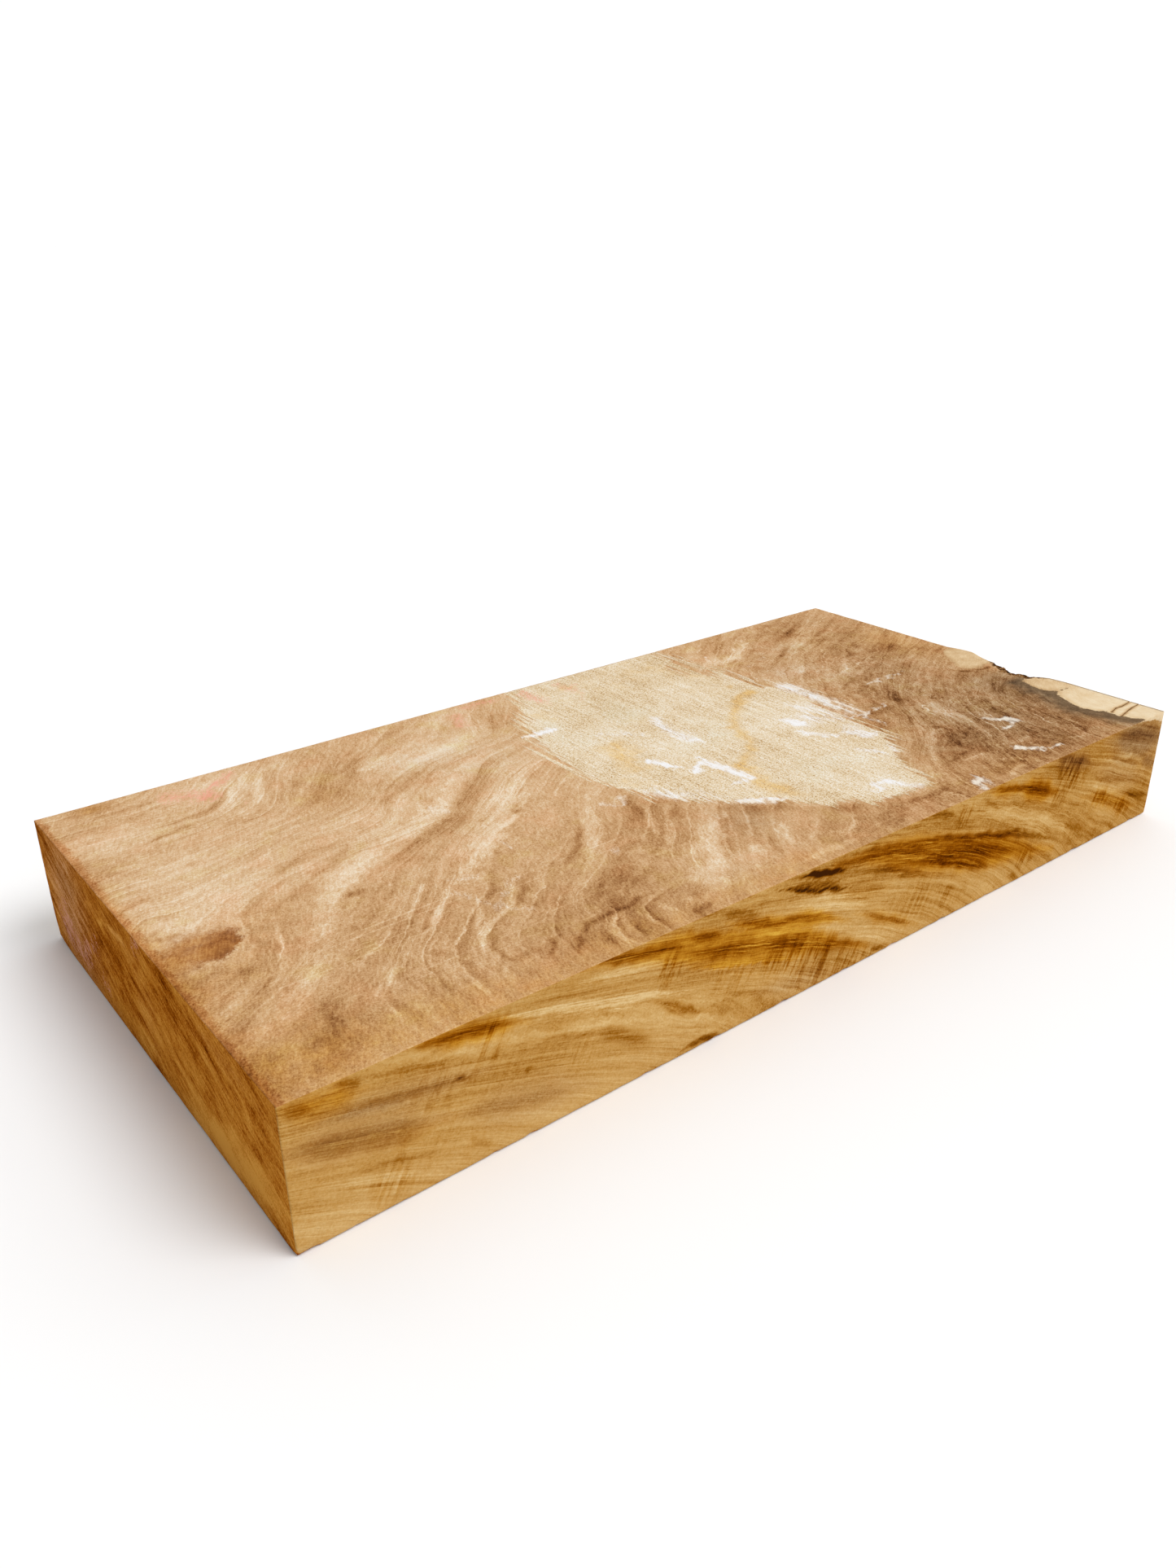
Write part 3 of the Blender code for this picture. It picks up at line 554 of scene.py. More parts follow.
FRONT_AMBER = [
    (7.0, 0.16, [(-108, 50), (-60, 30), (-20, 14)]), (6.0, 0.16, [(-10, 52), (20, 46), (44, 40)]),
    (5.0, 0.7, [(-264, 77), (-240, 71), (-217, 66), (-203, 62)]),
    (7.0, 0.5, [(-322, 72), (-300, 68), (-282, 66)]),
    (7.0, 0.30, [(-326, 53), (-290, 44), (-261, 34), (-243, 31)]),
    (7.5, 1.0, [(-174, 78), (-151, 72), (-122, 66), (-95, 56), (-66, 47), (-36, 37), (-7, 24), (24, 10)]),
    (4.5, 0.8, [(-86, 66), (-51, 52), (-22, 45), (8, 32)]),
    (9.5, 1.0, [(-8, 71), (29, 65), (58, 56), (88, 46), (120, 36), (150, 28), (180, 18), (204, 10)]),
    (6.5, 0.9, [(153, 68), (173, 61), (200, 51)]), (4.0, 0.6, [(124, 74), (163, 65)]),
    (6.0, 0.45, [(230, 39), (255, 31), (283, 18), (308, 9)]),
    (4.0, 0.15, [(-134, 42), (-109, 26), (-96, 19)]), (4.0, 0.4, [(13, 35), (42, 20), (70, 6)]),
]
FRONT_GREY = [
    (10.0, 0.55, [(250, 72), (284, 62), (324, 48)]),
    (10.0, 0.75, [(258, 78), (284, 70), (304, 62), (334, 48)]), (5.0, 0.50, [(298, 46), (325, 36)]),
    (8.0, 0.50, [(-326, 53), (-280, 43), (-248, 33)]), (6.0, 0.30, [(-313, 61), (-261, 53), (-224, 47)]),
    (9.0, 0.30, [(-244, 31), (-200, 20), (-168, 11)]), (5.0, 0.40, [(188, 76), (217, 68), (239, 59)]),
    (8.0, 0.25, [(-62, 16), (-30, 8), (2, 3)]), (9.0, 0.25, [(238, 57), (270, 44), (312, 29)]),
]
FRONT_RIPPLE = [
    (12.0, 1.0, [(-66, 35), (-40, 26), (-15, 16), (10, 8), (28, 3)]), (8.0, 0.8, [(-229, 67), (-212, 61)]),
    (9.0, 0.9, [(-128, 61), (-114, 49)]), (10.0, 0.6, [(-288, 17), (-264, 9)]),
    (8.0, 0.5, [(-182, 37), (-168, 27)]), (10.0, 1.0, [(194, 69), (215, 60), (230, 51)]),
    (8.0, 0.9, [(194, 53), (210, 43)]), (9.0, 0.7, [(242, 37), (264, 27)]),
    (7.0, 0.7, [(274, 21), (294, 11)]), (7.0, 0.7, [(99, 71), (109, 59)]), (6.0, 0.8, [(162, 17), (184, 11)]),
    (12.0, 0.18, [(-302, 67), (-230, 50), (-168, 39)]), (10.0, 0.4, [(38, 31), (80, 20), (112, 9)]),
    (9.0, 0.35, [(-102, 41), (-58, 29)]),
]

LEFT_TONE = 0.645
LEFT_AMBER = 1.0
HIDDEN_TONE = 0.56
HIDDEN_AMBER = 0.35
RIGHT_AMBER = 0.64
# Some of these washes darken the left end in thin bands along its bottom edge and along its far edge
LEFT_WASHES = [
    (-104, 13, 56, 12, -12, 0.44), (120, 58, 34, 18, 0, 0.07), (60, 40, 20, 30, 0, -0.04),
    (33, 38, 23, 25, 0, -0.136), (-45, 56, 40, 14, 8, -0.07), (-4, 35, 18, 29, 0, 0.06),
    (0, 2, 160, 3, 0, -0.06), (97, 19, 25, 17, 0, -0.187), (-140, 40, 14, 30, 0, 0.04),
    (107, 65, 34, 11, 0, -0.087), (152, 40, 5, 60, 0, -0.12), (138, 62, 18, 14, 0, -0.12),
    (62, 48, 18, 12, 0, -0.12), (-84, 28, 26, 8, -24, -0.05), (-30, 34, 26, 8, -24, 0.08),
    (-36, 62, 24, 8, -20, -0.1), (20, 12, 24, 8, 0, -0.06), (-107, 60, 19, 9, 0, -0.109),
    (83, 27, 14, 12, 0, -0.103), (-76, 12, 18, 9, 0, 0.13), (-15, 62, 16, 10, 0, 0.045),
    (78, 64, 15, 10, 0, -0.176), (-108, 38, 16, 9, 0, -0.035), (46, 12, 16, 9, 0, 0.035),
    (-142, 12, 14, 9, 0, 0.079), (-132, 58, 12, 10, 0, -0.12), (144, 5, 14, 5, 0, -0.14),
]
LEFT_AMBER_WASHES = [
    (-100, 65, 40, 10, 0, -0.14), (25, 63, 26, 8, 0, -0.14), (112, 40, 46, 60, 0, -0.65),
    (-4, 36, 18, 30, 0, -0.15),
]
LEFT_GREY = [(12.0, 0.45, [(140, 60), (110, 56), (84, 62)]), (12.0, 0.35, [(128, 30), (100, 30)])]
LEFT_STROKES = [
    (1.9, 0.34, [(103, 67), (100, 65)]), (1.9, 0.30, [(55, 58), (50, 56)]), (1.9, 0.30, [(45, 27), (42, 25)]),
    (2.6, 0.16, [(-120, 60), (-122, 50), (-124, 44)]), (2.0, 0.42, [(44, 62), (28, 63), (10, 64)]),
    (2.4, 0.14, [(-32, 49), (-58, 40), (-74, 30), (-96, 18)]),
    (2.4, 0.13, [(-14, 67), (-60, 62), (-88, 52), (-110, 44)]),
    (3.0, 0.10, [(50, 38), (-10, 30), (-60, 20), (-110, 8)]),
    (4.0, -0.08, [(0, 64), (-50, 52), (-100, 38), (-150, 22)]),
    (3.0, -0.08, [(30, 50), (-20, 38), (-70, 26)]), (2.0, 0.18, [(114, 65), (106, 68), (98, 71)]),
    (2.0, 0.16, [(62, 53), (54, 57), (46, 61)]),
]
LEFT_PINK = [
    (13.0, 0.95, [(134, 12), (122, 20), (110, 26)]), (9.0, 0.70, [(106, 8), (96, 18), (88, 28)]),
    (5.0, 0.60, [(80, 28), (72, 34), (66, 38)]), (5.0, 0.55, [(4, 69), (-4, 72), (-10, 74)]),
    (6.0, 0.35, [(76, 8), (68, 14), (60, 16)]),
]

# Rubbed-on marks on the top face: (half-width, strength, points)
CHALK = [
    (2.4, 1.4, [(-40, 79), (-30, 80), (-12, 79)]), (2.4, 0.9, [(-1, 56), (12, 46), (27, 35)]),
    (2.8, 0.95, [(50, 56), (44, 42), (40, 26), (39, 13), (49, 0)]), (2.9, 1.7, [(-1, 2), (3, -9), (9, -22)]),
    (2.6, 1.5, [(8, -30), (17, -25), (28, -17)]), (2.9, 1.5, [(24, -17), (27, -34), (29, -46), (30, -57)]),
    (2.2, 1.1, [(15, -55), (24, -57), (35, -57)]), (3.0, 1.6, [(0, -75), (12, -82), (25, -89)]),
    (6.0, 0.55, [(-29, -28), (-24, -41), (-17, -52)]), (3.0, 1.2, [(112, -2), (114, -10), (116, -18)]),
    (3.0, 1.0, [(104, -24), (112, -36), (122, -48)]), (3.8, 1.1, [(126, -42), (134, -52), (143, -62)]),
    (2.2, 0.9, [(128, -90), (130, -82), (132, -74)]), (2.6, 1.2, [(111, -65), (116, -74), (121, -84)]),
    (3.0, 1.2, [(72, -121), (80, -110), (88, -110), (94, -122), (102, -132)]),
    (9.0, 0.50, [(135, 8), (145, -8), (150, -30)]), (7.0, 0.45, [(140, -36), (134, -50), (140, -62)]),
    (8.0, 0.45, [(112, -8), (122, -16), (132, -10)]), (6.0, 0.9, [(156, 46), (160, 36), (163, 28)]),
    (2.4, 1.2, [(136, -139), (128, -147), (121, -155)]), (1.8, 1.1, [(129, -140), (125, -148)]),
    (1.8, 0.9, [(136, -145), (131, -154)]),
    (1.8, 1.0, [(146, -32), (154, -32), (166, -31), (178, -31), (190, -28)]),
    (1.5, 1.0, [(204, 5), (220, 5), (236, 5), (249, 6)]), (2.0, 0.7, [(246, 4), (250, 6), (249, 9)]),
    (1.9, 1.6, [(214, -85), (222, -94), (230, -101), (221, -105), (208, -108)]),
    (1.8, 1.6, [(187, -127), (198, -137), (207, -143), (218, -144)]),
    (2.0, 0.30, [(204, -38), (201, -52), (197, -66)]),
    (2.4, 0.85, [(-64, -27), (-57, -34), (-52, -36), (-46, -27)]),
    (4.0, 0.65, [(-142, 30), (-138, 24), (-136, 16)]), (1.8, 0.40, [(-136, -6), (-135, -12)]),
    (1.8, 0.80, [(-130, -26), (-131, -34), (-133, -42)]),
    (2.6, 0.60, [(-176, -46), (-172, -52), (-160, -54)]),
    (1.8, 0.62, [(-182, -56), (-178, -70), (-170, -86), (-158, -102)]),
    (2.0, 0.55, [(-180, -92), (-168, -84), (-158, -74), (-145, -65)]),
    (3.0, 0.30, [(-150, -66), (-142, -70)]), (3.0, 0.65, [(-94, -74), (-88, -79)]),
    (3.0, 0.30, [(-104, -112), (-97, -118)]), (1.8, 0.95, [(155, 113), (160, 118), (166, 123)]),
    (1.8, 0.50, [(164, 91), (168, 87), (173, 84)]), (3.0, 0.40, [(186, 88), (191, 92), (196, 96)]),
    (2.0, 0.45, [(250, 127), (254, 127)]), (1.6, 1.0, [(157, 34), (157, -10), (158, -60)]),
    (1.7, 1.2, [(162, 44), (163, 10), (163, -34)]), (1.4, 0.7, [(167, 46), (167, 10), (166, -20)]),
    (1.4, 0.30, [(228, 34), (236, 42), (242, 48)]), (1.2, 0.30, [(5, -98), (5, -116), (6, -134)]),
    (2.0, 0.40, [(162, 20), (165, -10), (163, -40)]), (7.0, 0.35, [(52, 58), (46, 46), (40, 40)]),
    (6.0, 0.30, [(60, 4), (50, 14), (44, 26)]), (9.0, 0.25, [(8, -64), (-4, -58), (-16, -44)]),
]
CHALK_HAZE = [
    (118, -14, 20, 20, 0, 0.42), (138, 10, 12, 34, 0, 0.34), (140, -34, 10, 22, 0, 0.30),
    (-14, -58, 18, 10, -52, 0.45), (46, 20, 8, 26, -12, 0.42), (4, -80, 16, 5, -38, 0.40),
    (86, -114, 12, 10, 0, 0.35), (160, 20, 5, 44, 0, 0.50), (26, -36, 10, 20, 0, 0.30),
    (-28, -34, 8, 14, 0, 0.35), (124, -120, 10, 12, 0, 0.25), (-170, -68, 16, 12, -60, 0.22),
    (-48, -30, 14, 8, -30, 0.24), (-94, -78, 10, 8, 0, 0.22), (188, 84, 14, 10, 0, 0.24),
    (128, -146, 9, 7, -50, 0.35), (-140, 24, 9, 10, 0, 0.22), (205, -60, 8, 22, 0, 0.16),
    (218, -96, 8, 14, 0, 0.20), (-22, 78, 22, 5, 0, 0.35),
]
CRAYON = [
    (1.4, 0.8, [(-238, 119), (-231, 126), (-226, 134), (-218, 143)]),
    (3.5, 0.55, [(-222, 132), (-214, 141), (-206, 150)]), (1.6, 0.55, [(8, 156), (9, 140), (8, 124)]),
    (1.4, 0.45, [(12, 154), (11, 138), (10, 112)]), (5.0, 0.50, [(-62, 118), (-54, 132), (-50, 144)]),
    (6.0, 0.46, [(-44, 148), (-28, 150), (-14, 146)]), (1.6, 0.40, [(34, 139), (42, 138), (50, 137)]),
    (1.6, 0.35, [(43, 124), (38, 116), (30, 108)]), (9.0, 0.52, [(-258, 138), (-240, 132), (-226, 116)]),
    (6.0, 0.46, [(8, 150), (10, 120)]), (5.0, 0.40, [(38, 150), (40, 122)]),
    (1.6, 0.25, [(-218, 98), (-216, 106)]),
]
LIVELY = [(230, 20, 100, 150, 0, 1.0), (225, -110, 90, 60, 0, 0.7), (90, -146, 70, 16, 0, 0.6)]
SCRATCHED = [(-200, -80, 110, 60, 0, 0.9), (20, -145, 60, 12, 0, 0.8), (-60, -60, 50, 50, 0, 0.6)]
LINE_ZONES = [
    (34.0, 0.50, [(-240, -60), (-215, -90), (-195, -125)]),
    (34.0, 0.60, [(-160, -80), (-135, -115), (-120, -150)]), (20.0, 0.15, [(-270, -40), (-290, -70)]),
    (46.0, 0.40, [(165, -125), (230, -110), (285, -120)]), (30.0, 0.30, [(215, -70), (262, -40)]),
    (24.0, 0.30, [(-70, -60), (-50, -90), (-40, -120)]), (24.0, 0.20, [(230, 30), (270, 40)]),
    (30.0, 0.20, [(180, -70), (150, -100)]),
]
SAP_TONES = [(-150, 0.90), (-100, 0.84), (-88, 0.62), (-62, 0.50), (-20, 0.54), (20, 0.54)]
BARK_BITS = [
    (1.2, 0.55, [(296, -88), (304, -89.5), (311, -89), (318, -87.5)]),
    (1.1, 0.45, [(298, -62), (306, -60), (314, -63), (318, -66)]),
    (1.0, 0.42, [(301, -72), (307, -76), (314, -77)]), (1.0, 0.34, [(303, -66), (309, -69), (315, -70)]),
    (2.0, 0.9, [(300, -38), (306, -42), (310, -45)]), (1.6, 0.8, [(302, -52), (305, -56), (309, -58)]),
    (1.2, 0.6, [(305, -36), (309, -37), (312, -38)]), (0.9, 0.5, [(288, -114), (290, -116)]),
    (0.9, 0.5, [(309, -104), (311, -106)]), (1.2, 0.5, [(297, -60), (300, -62), (303, -61)]),
]
FRONT_SAPWOOD = [(282, 80), (286, 76), (296, 74.6), (308, 72), (330, 64), (330, 80)]

# The wood's colours from dark to pale, on the faded top and on the sides, and what tints them
TOP_COLOURS = colours(
    (92, 54, 28), (148, 99, 57), (184, 138, 91), (210, 169, 124), (227, 197, 160), (240, 223, 198))
SIDE_COLOURS = colours(
    (64, 31, 6), (116, 63, 5), (160, 103, 26), (197, 149, 79), (215, 175, 112), (234, 204, 150))
SAWN_COLOURS = colours(
    (166, 124, 78), (204, 171, 124), (223, 199, 160), (232, 212, 179), (238, 223, 199), (245, 238, 224))
SAP_COLOURS = colours((150, 112, 74), (206, 170, 124), (228, 200, 158), (240, 220, 186))
BARK_COLOURS = colours((40, 24, 14), (84, 54, 30), (130, 88, 48), (184, 142, 94))
BLOTCH_COLOURS = colours((112, 58, 18), (148, 86, 34), (180, 118, 56), (202, 146, 80))
RIM_COLOURS = colours((74, 57, 43), (112, 91, 68), (146, 120, 90))
# The colour of the painted shade along the right end's arris on the top
ARRIS_SHADE_COLOUR = colour(104, 72, 42)
AMBER_TINT = (0.95, 0.74, 0.20)
GREY_TINT = (0.82, 0.90, 1.03)
PINK_TINT = (1.04, 0.92, 0.88)
OLIVE_TINT = (0.97, 1.00, 0.78)
END_TINT = (1.10, 0.91, 1.20)
WORN_TINT = (1.02, 0.86, 0.76)
SAWN_AMBER_TINT = (0.98, 0.76, 0.38)
SAWN_GREEN_TINT = (0.92, 0.955, 0.95)
SAWN_SPECK_TINT = (0.72, 0.50, 0.22)
CHALK_COLOUR = colour(248, 248, 250)
DUSTY_COLOUR = colour(248, 239, 224)
CRAYON_COLOUR = colour(238, 160, 136)
WAX_COLOUR = colour(226, 162, 134)

# Raised fibres lean this many degrees from the length on the top, and from the width on the ends
FIBRE_LEAN = 66.0
END_FIBRE_LEAN = -24.0

# Noises in every direction, each (features per millimetre, detail, roughness)
MOTTLE = (0.11, 3.0, 0.6)
GRIT = (1.0, 3.0, 0.7)
TUFTS = (0.45, 3.0, 0.75)
WANDER = (0.032, 2.0, 0.5)
SHIVER = (0.14, 2.0, 0.6)
CAST = (0.045, 3.0, 0.65)
SAP_EDGE = (0.28, 3.0, 0.65)
WEATHERED = (0.035, 3.0, 0.6)
DOTS = (0.9, 1.0, 0.5)
CRUMBS = (0.55, 4.0, 0.7)
BARK_GRIT = (0.8, 3.0, 0.7)

# Streaks along the growth, each (features per ring, features per millimetre along it, detail, roughness)
BROAD = (1.3, 0.012, 2.0, 0.55)
MIDDLE = (3.6, 0.030, 2.0, 0.55)
FINE = (12.0, 0.12, 2.0, 0.6)
HAIR = (34.0, 0.40, 2.0, 0.7)
PORES = (24.0, 0.55, 2.0, 0.6)
LINE_GATE = (0.9, 0.02, 2.0, 0.55)
SECOND_GATE = (2.1, 0.03, 2.0, 0.55)
SHADE_GATE = (0.7, 0.016, 2.0, 0.55)

# Streaks straight across or along the top, each (features per millimetre of x, and of y, detail, roughness)
SCRATCH = (0.006, 0.42, 2.0, 0.7)
SAW_STREAK = (0.40, 0.013, 3.0, 0.65)
SAW_BROAD = (0.20, 0.010, 2.0, 0.5)
SAW_LINE = (0.52, 0.016, 3.0, 0.8)
RUBBED = (0.42, 0.05, 3.0, 0.75)
BUMP_STRENGTH = 0.55
BUMP_HEIGHT = 0.0005

# The map of the faces, in millimetres: its side, the gaps in it, and how large the faces lie in it
MAP_SIDE = 1000.0
MAP_GAP = 4.0
SEEN_SCALE = 1.25
UNDER_SCALE = 0.75

# What stands for far away where a face has no patch or torn edge, no blotch and no sapwood
OFF_FACE = 60.0
NO_BLOTCH = 4.0
NO_SAPWOOD = 40.0

# The studio, in metres: its walls are white from one side on and dimmer on the other
FLOOR_RADIUS = 30.0
FLOOR_DROP = 0.0004
FLOOR_COLOUR = (0.86, 0.86, 0.86)
WALL_BRIGHTNESS = (0.32, 1.02)
WALL_RISE = (-0.55, 0.12)
SUN_FROM = (0.30, -0.50, 0.80)
SUN_STRENGTH = 1.75
SUN_ANGLE = 34.0

# The camera, from the slab's seven corners that it sees
PHOTO_HEIGHT = 1926
SENSOR = 36.0
CAMERA_FOCUS = 1494.3
CAMERA_PLACE = (-0.4518, -0.5153, 0.3761)
CAMERA_ROWS = (
    (0.78634, -0.61772, -0.00947),
    (-0.26606, -0.32477, -0.90760),
    (0.55757, 0.71620, -0.41973),
)


def smooth_rise(value, start, stop):
    """0 before start, 1 after stop, and a smooth S between, for numbers and arrays alike."""
    t = np.clip((value - start) / (stop - start), 0.0, 1.0)
    return t * t * (3.0 - 2.0 * t)


def waves(points, size, seed, count=14):
    """Smooth noise about -1 to 1 with features of about this size: a sum of waves of mixed heading."""
    draw = np.random.default_rng(seed)
    found = np.zeros(len(points))
    for _ in range(count):
        heading = draw.normal(size=points.shape[1])
        heading /= np.linalg.norm(heading)
        turn = 2 * math.pi / (size * draw.uniform(0.9, 2.6))
        found += np.sin(points @ heading * turn + draw.uniform(0, 2 * math.pi))
    return found / math.sqrt(count)


def curve_through(points, steps=5):
    """A smooth curve through the points, as an array of closer points."""
    p = np.array(points, float)
    if len(p) < 3:
        return p
    ends = np.vstack([2 * p[0] - p[1], p, 2 * p[-1] - p[-2]])
    made = []
    for a, b, c, d in zip(ends, ends[1:], ends[2:], ends[3:]):
        for t in np.arange(steps) / steps:
            made.append(0.5 * (2 * b + (c - a) * t + (2 * a - 5 * b + 4 * c - d) * t ** 2
                               + (3 * b - a - 3 * c + d) * t ** 3))
    made.append(p[-1])
    return np.array(made)


def distance_to_line(points, line):
    """For each point, its distance to an open line, and its share of the way along it."""
    best = np.full(len(points), 1e9)
    share = np.zeros(len(points))
    spans = np.linalg.norm(np.diff(line, axis=0), axis=1)
    total = max(spans.sum(), 1e-9)
    before = 0.0
    for a, b, span in zip(line, line[1:], spans):
        t = np.clip(((points - a) @ (b - a)) / max(span * span, 1e-12), 0.0, 1.0)
        away = np.linalg.norm(points - a - t[:, None] * (b - a), axis=1)
        nearer = away < best
        best = np.where(nearer, away, best)
        share = np.where(nearer, (before + t * span) / total, share)
        before += span
    return best, share


def signed_distance(points, outline):
    """Distance to a closed outline, negative inside it."""
    ring = np.vstack([outline, outline[:1]]).astype(float)
    away, _ = distance_to_line(points, ring)
    inside = np.zeros(len(points), bool)
    for (ax, ay), (bx, by) in zip(ring, ring[1:]):
        crosses = (ay > points[:, 1]) != (by > points[:, 1])
        with np.errstate(divide="ignore", invalid="ignore"):
            at = ax + (points[:, 1] - ay) * (bx - ax) / (by - ay)
        inside ^= crosses & (points[:, 0] < at)
    return np.where(inside, -away, away)


def place_on_growth(points):
    """Where the growth surface through each point meets the plane of the top face, as (x, y)."""
    depth = THICKNESS - points[:, 2]
    steeper = smooth_rise(points[:, 0], *STEEPER_SPAN)
    slant = SLANT - STEEPER_SLANT * steeper - (SLANT_EASE - STEEPER_EASE * steeper) * depth
    return np.column_stack([points[:, 0] - depth * slant, points[:, 1]])


def ring_numbers(places):
    """A ring number for each place in the plane of the top face.

    It comes from the surface that passes close to each growth line's number and bends as little as it can.
    """
    spots = [curve_through(points, 2) for _, points in GROWTH_LINES]
    rings = np.concatenate([np.full(len(line), ring) for line, (ring, _) in zip(spots, GROWTH_LINES)])
    spots = np.vstack(spots) / FIELD_UNIT
    places = places / FIELD_UNIT
    count = len(spots)
    flat = np.column_stack([np.ones(count), spots])
    system = np.zeros((count + 3, count + 3))
    system[:count, :count] = np.linalg.norm(spots[:, None] - spots[None], axis=2) ** 3
    system[:count, :count] += GROWTH_EASE * np.eye(count)
    system[:count, count:] = flat
    system[count:, :count] = flat.T
    weights = np.linalg.solve(system, np.concatenate([rings, np.zeros(3)]))
    found = []
    for part in np.array_split(places, max(1, len(places) // 6000)):
        away = np.linalg.norm(part[:, None] - spots[None], axis=2)
        found.append((away ** 3) @ weights[:count] + weights[count] + part @ weights[count + 1:])
    return np.concatenate(found)


def past_cut(y):
    """How far the right end's line at the top face stands past the saw cut."""
    ys, out = zip(*reversed(END_LINE))
    return np.interp(y, ys, out)


def end_surface(y, z):
    """The right end's x at each y and height: the saw cut, the lip and the torn bark pocket."""
    depth = THICKNESS - z
    saw_cut = HALF_LENGTH - SAW_STEP * smooth_rise(-y, *SAW_STEP_SPAN)
    lip = np.maximum(past_cut(y), 0.0) * (1.0 - smooth_rise(depth, 0.0, LIP_DEPTH))
    sunk = np.minimum(past_cut(y + POCKET_LEAN * depth), 0.0)
    pocket = sunk * (1.0 - smooth_rise(depth, 0.3 * POCKET_DEPTH, POCKET_DEPTH))
    across = np.column_stack([y, z * 0.45])
    torn = TEAR_HEIGHT * waves(across, 4.2, 11) + 0.5 * TEAR_HEIGHT * waves(across, 1.7, 12)
    torn = torn * smooth_rise(-pocket, 0.0, 4.0) * (0.25 + 0.75 * smooth_rise(depth, 0.0, 4.0))
    return np.minimum(saw_cut + lip + pocket + torn, HALF_LENGTH + LIP_REACH)


def spaced(half, spacing):
    """Positions from -half to half with an even count of gaps, closer together at both ends."""
    inner = half - ARRIS_LOOPS[-1]
    gaps = 2 * round(inner / spacing)
    middle = np.linspace(-inner, inner, gaps + 1)
    close = half - np.array(ARRIS_LOOPS[:-1])
    return np.concatenate([-close, middle, close[::-1]])


def across_positions():
    """The y of each loop across the slab: the usual ones, drawn closer together in the bark pocket."""
    ys = spaced(HALF_WIDTH, SPACING[1])
    low, high = POCKET_SPAN
    middle = (low + high) / 2
    reach = (high - low) / 2
    nearness = np.exp(-((ys - middle) / (1.5 * reach)) ** 4)
    nearness *= 1.0 - smooth_rise(np.abs(ys), 120.0, HALF_WIDTH)
    return ys - POCKET_CROWDING * (ys - middle) * nearness


def box_mesh(xs, ys, zs):
    """The corners and faces of a box of small cells, with cells twice the size underneath."""
    ni, nj, nk = len(xs) - 1, len(ys) - 1, len(zs) - 1
    number = -np.ones((ni + 1, nj + 1, nk + 1), int)
    wanted = np.zeros(number.shape, bool)
    wanted[[0, -1]] = True
    wanted[:, [0, -1]] = True
    wanted[:, :, -1] = True
    wanted[::2, ::2, 0] = True
    number[wanted] = np.arange(wanted.sum())
    i, j, k = np.nonzero(wanted)
    corners = np.column_stack([xs[i], ys[j], zs[k]])

    def quads(sheet, flipped):
        a, b, c, d = sheet[:-1, :-1], sheet[1:, :-1], sheet[1:, 1:], sheet[:-1, 1:]
        order = (a, d, c, b) if flipped else (a, b, c, d)
        return np.stack(order, -1).reshape(-1, 4).tolist()

    faces = quads(number[:, :, -1], False)
    faces += quads(number[:, 0, :], False) + quads(number[:, -1, :], True)
    faces += quads(number[0], True) + quads(number[-1], False)
    under = number[:, :, 0]
    for a in range(0, ni, 2):
        for b in range(0, nj, 2):
            rim = [(a, b), (a, b + 1), (a, b + 2), (a + 1, b + 2),
                   (a + 2, b + 2), (a + 2, b + 1), (a + 2, b), (a + 1, b)]
            faces.append([under[spot] for spot in rim if under[spot] >= 0])
    return corners, faces


def round_arrises(points):
    """Rounds the box's arrises: nearly sharp, but worn at the lower near one and at one corner."""
    half = np.array([HALF_LENGTH, HALF_WIDTH, THICKNESS / 2])
    centred = points - np.array([0.0, 0.0, half[2]])
    radius = ARRIS_RADIUS * (1.0 + 0.35 * waves(points, 9.0, 21))
    low_near = np.exp(-((points[:, 1] + HALF_WIDTH) ** 2 + points[:, 2] ** 2) / 9.0)
    nicks = np.clip(waves(points, 7.0, 22) - 0.6, 0.0, 1.0)
    radius += low_near * (WORN_RADIUS - ARRIS_RADIUS + 1.6 * nicks)
    corner = np.array([-HALF_LENGTH, HALF_WIDTH, 0.0])
    near_corner = np.exp(-(np.linalg.norm(points - corner, axis=1) / CORNER_REACH) ** 2)
    radius += near_corner * (CORNER_RADIUS - ARRIS_RADIUS)
    radius = np.clip(radius, 0.2, CORNER_RADIUS)[:, None]
    inner = np.clip(centred, -(half - radius), half - radius)
    outward = centred - inner
    length = np.linalg.norm(outward, axis=1, keepdims=True)
    turned = inner + outward * radius / np.maximum(length, 1e-9)
    return turned + np.array([0.0, 0.0, half[2]])


def shape_points(points):
    """The box's points, rounded, warped to the shape of the right end and sunk where the top is worn."""
    shaped = round_arrises(points)
    x, y, z = shaped.T
    share = np.clip((x - (HALF_LENGTH - END_ZONE)) / END_ZONE, 0.0, 1.0)
    shaped[:, 0] = x + share * (end_surface(y, z) - HALF_LENGTH)
    on_top = points[:, 2] > THICKNESS - 1e-6
    plan = shaped[:, :2]
    sawn = smooth_rise(-signed_distance(plan, np.array(SAWN_PATCH)), -2.0, 3.0)
    shaped[:, 2] -= on_top * sawn * SAWN_SINK
    from_end = np.maximum(HALF_LENGTH + np.minimum(past_cut(plan[:, 1]), 0.0) - plan[:, 0], 0.0)
    ragged = np.clip(0.6 + 0.7 * waves(plan, 5.0, 31) + 0.5 * waves(plan, 2.2, 32), 0.0, 2.0)
    crumbling = smooth_rise(-past_cut(plan[:, 1]), 0.5, 5.0) * np.exp(-(from_end / CRUMBLE_REACH) ** 2)
    shaped[:, 2] -= on_top * CRUMBLE_DEPTH * crumbling * ragged
    return shaped


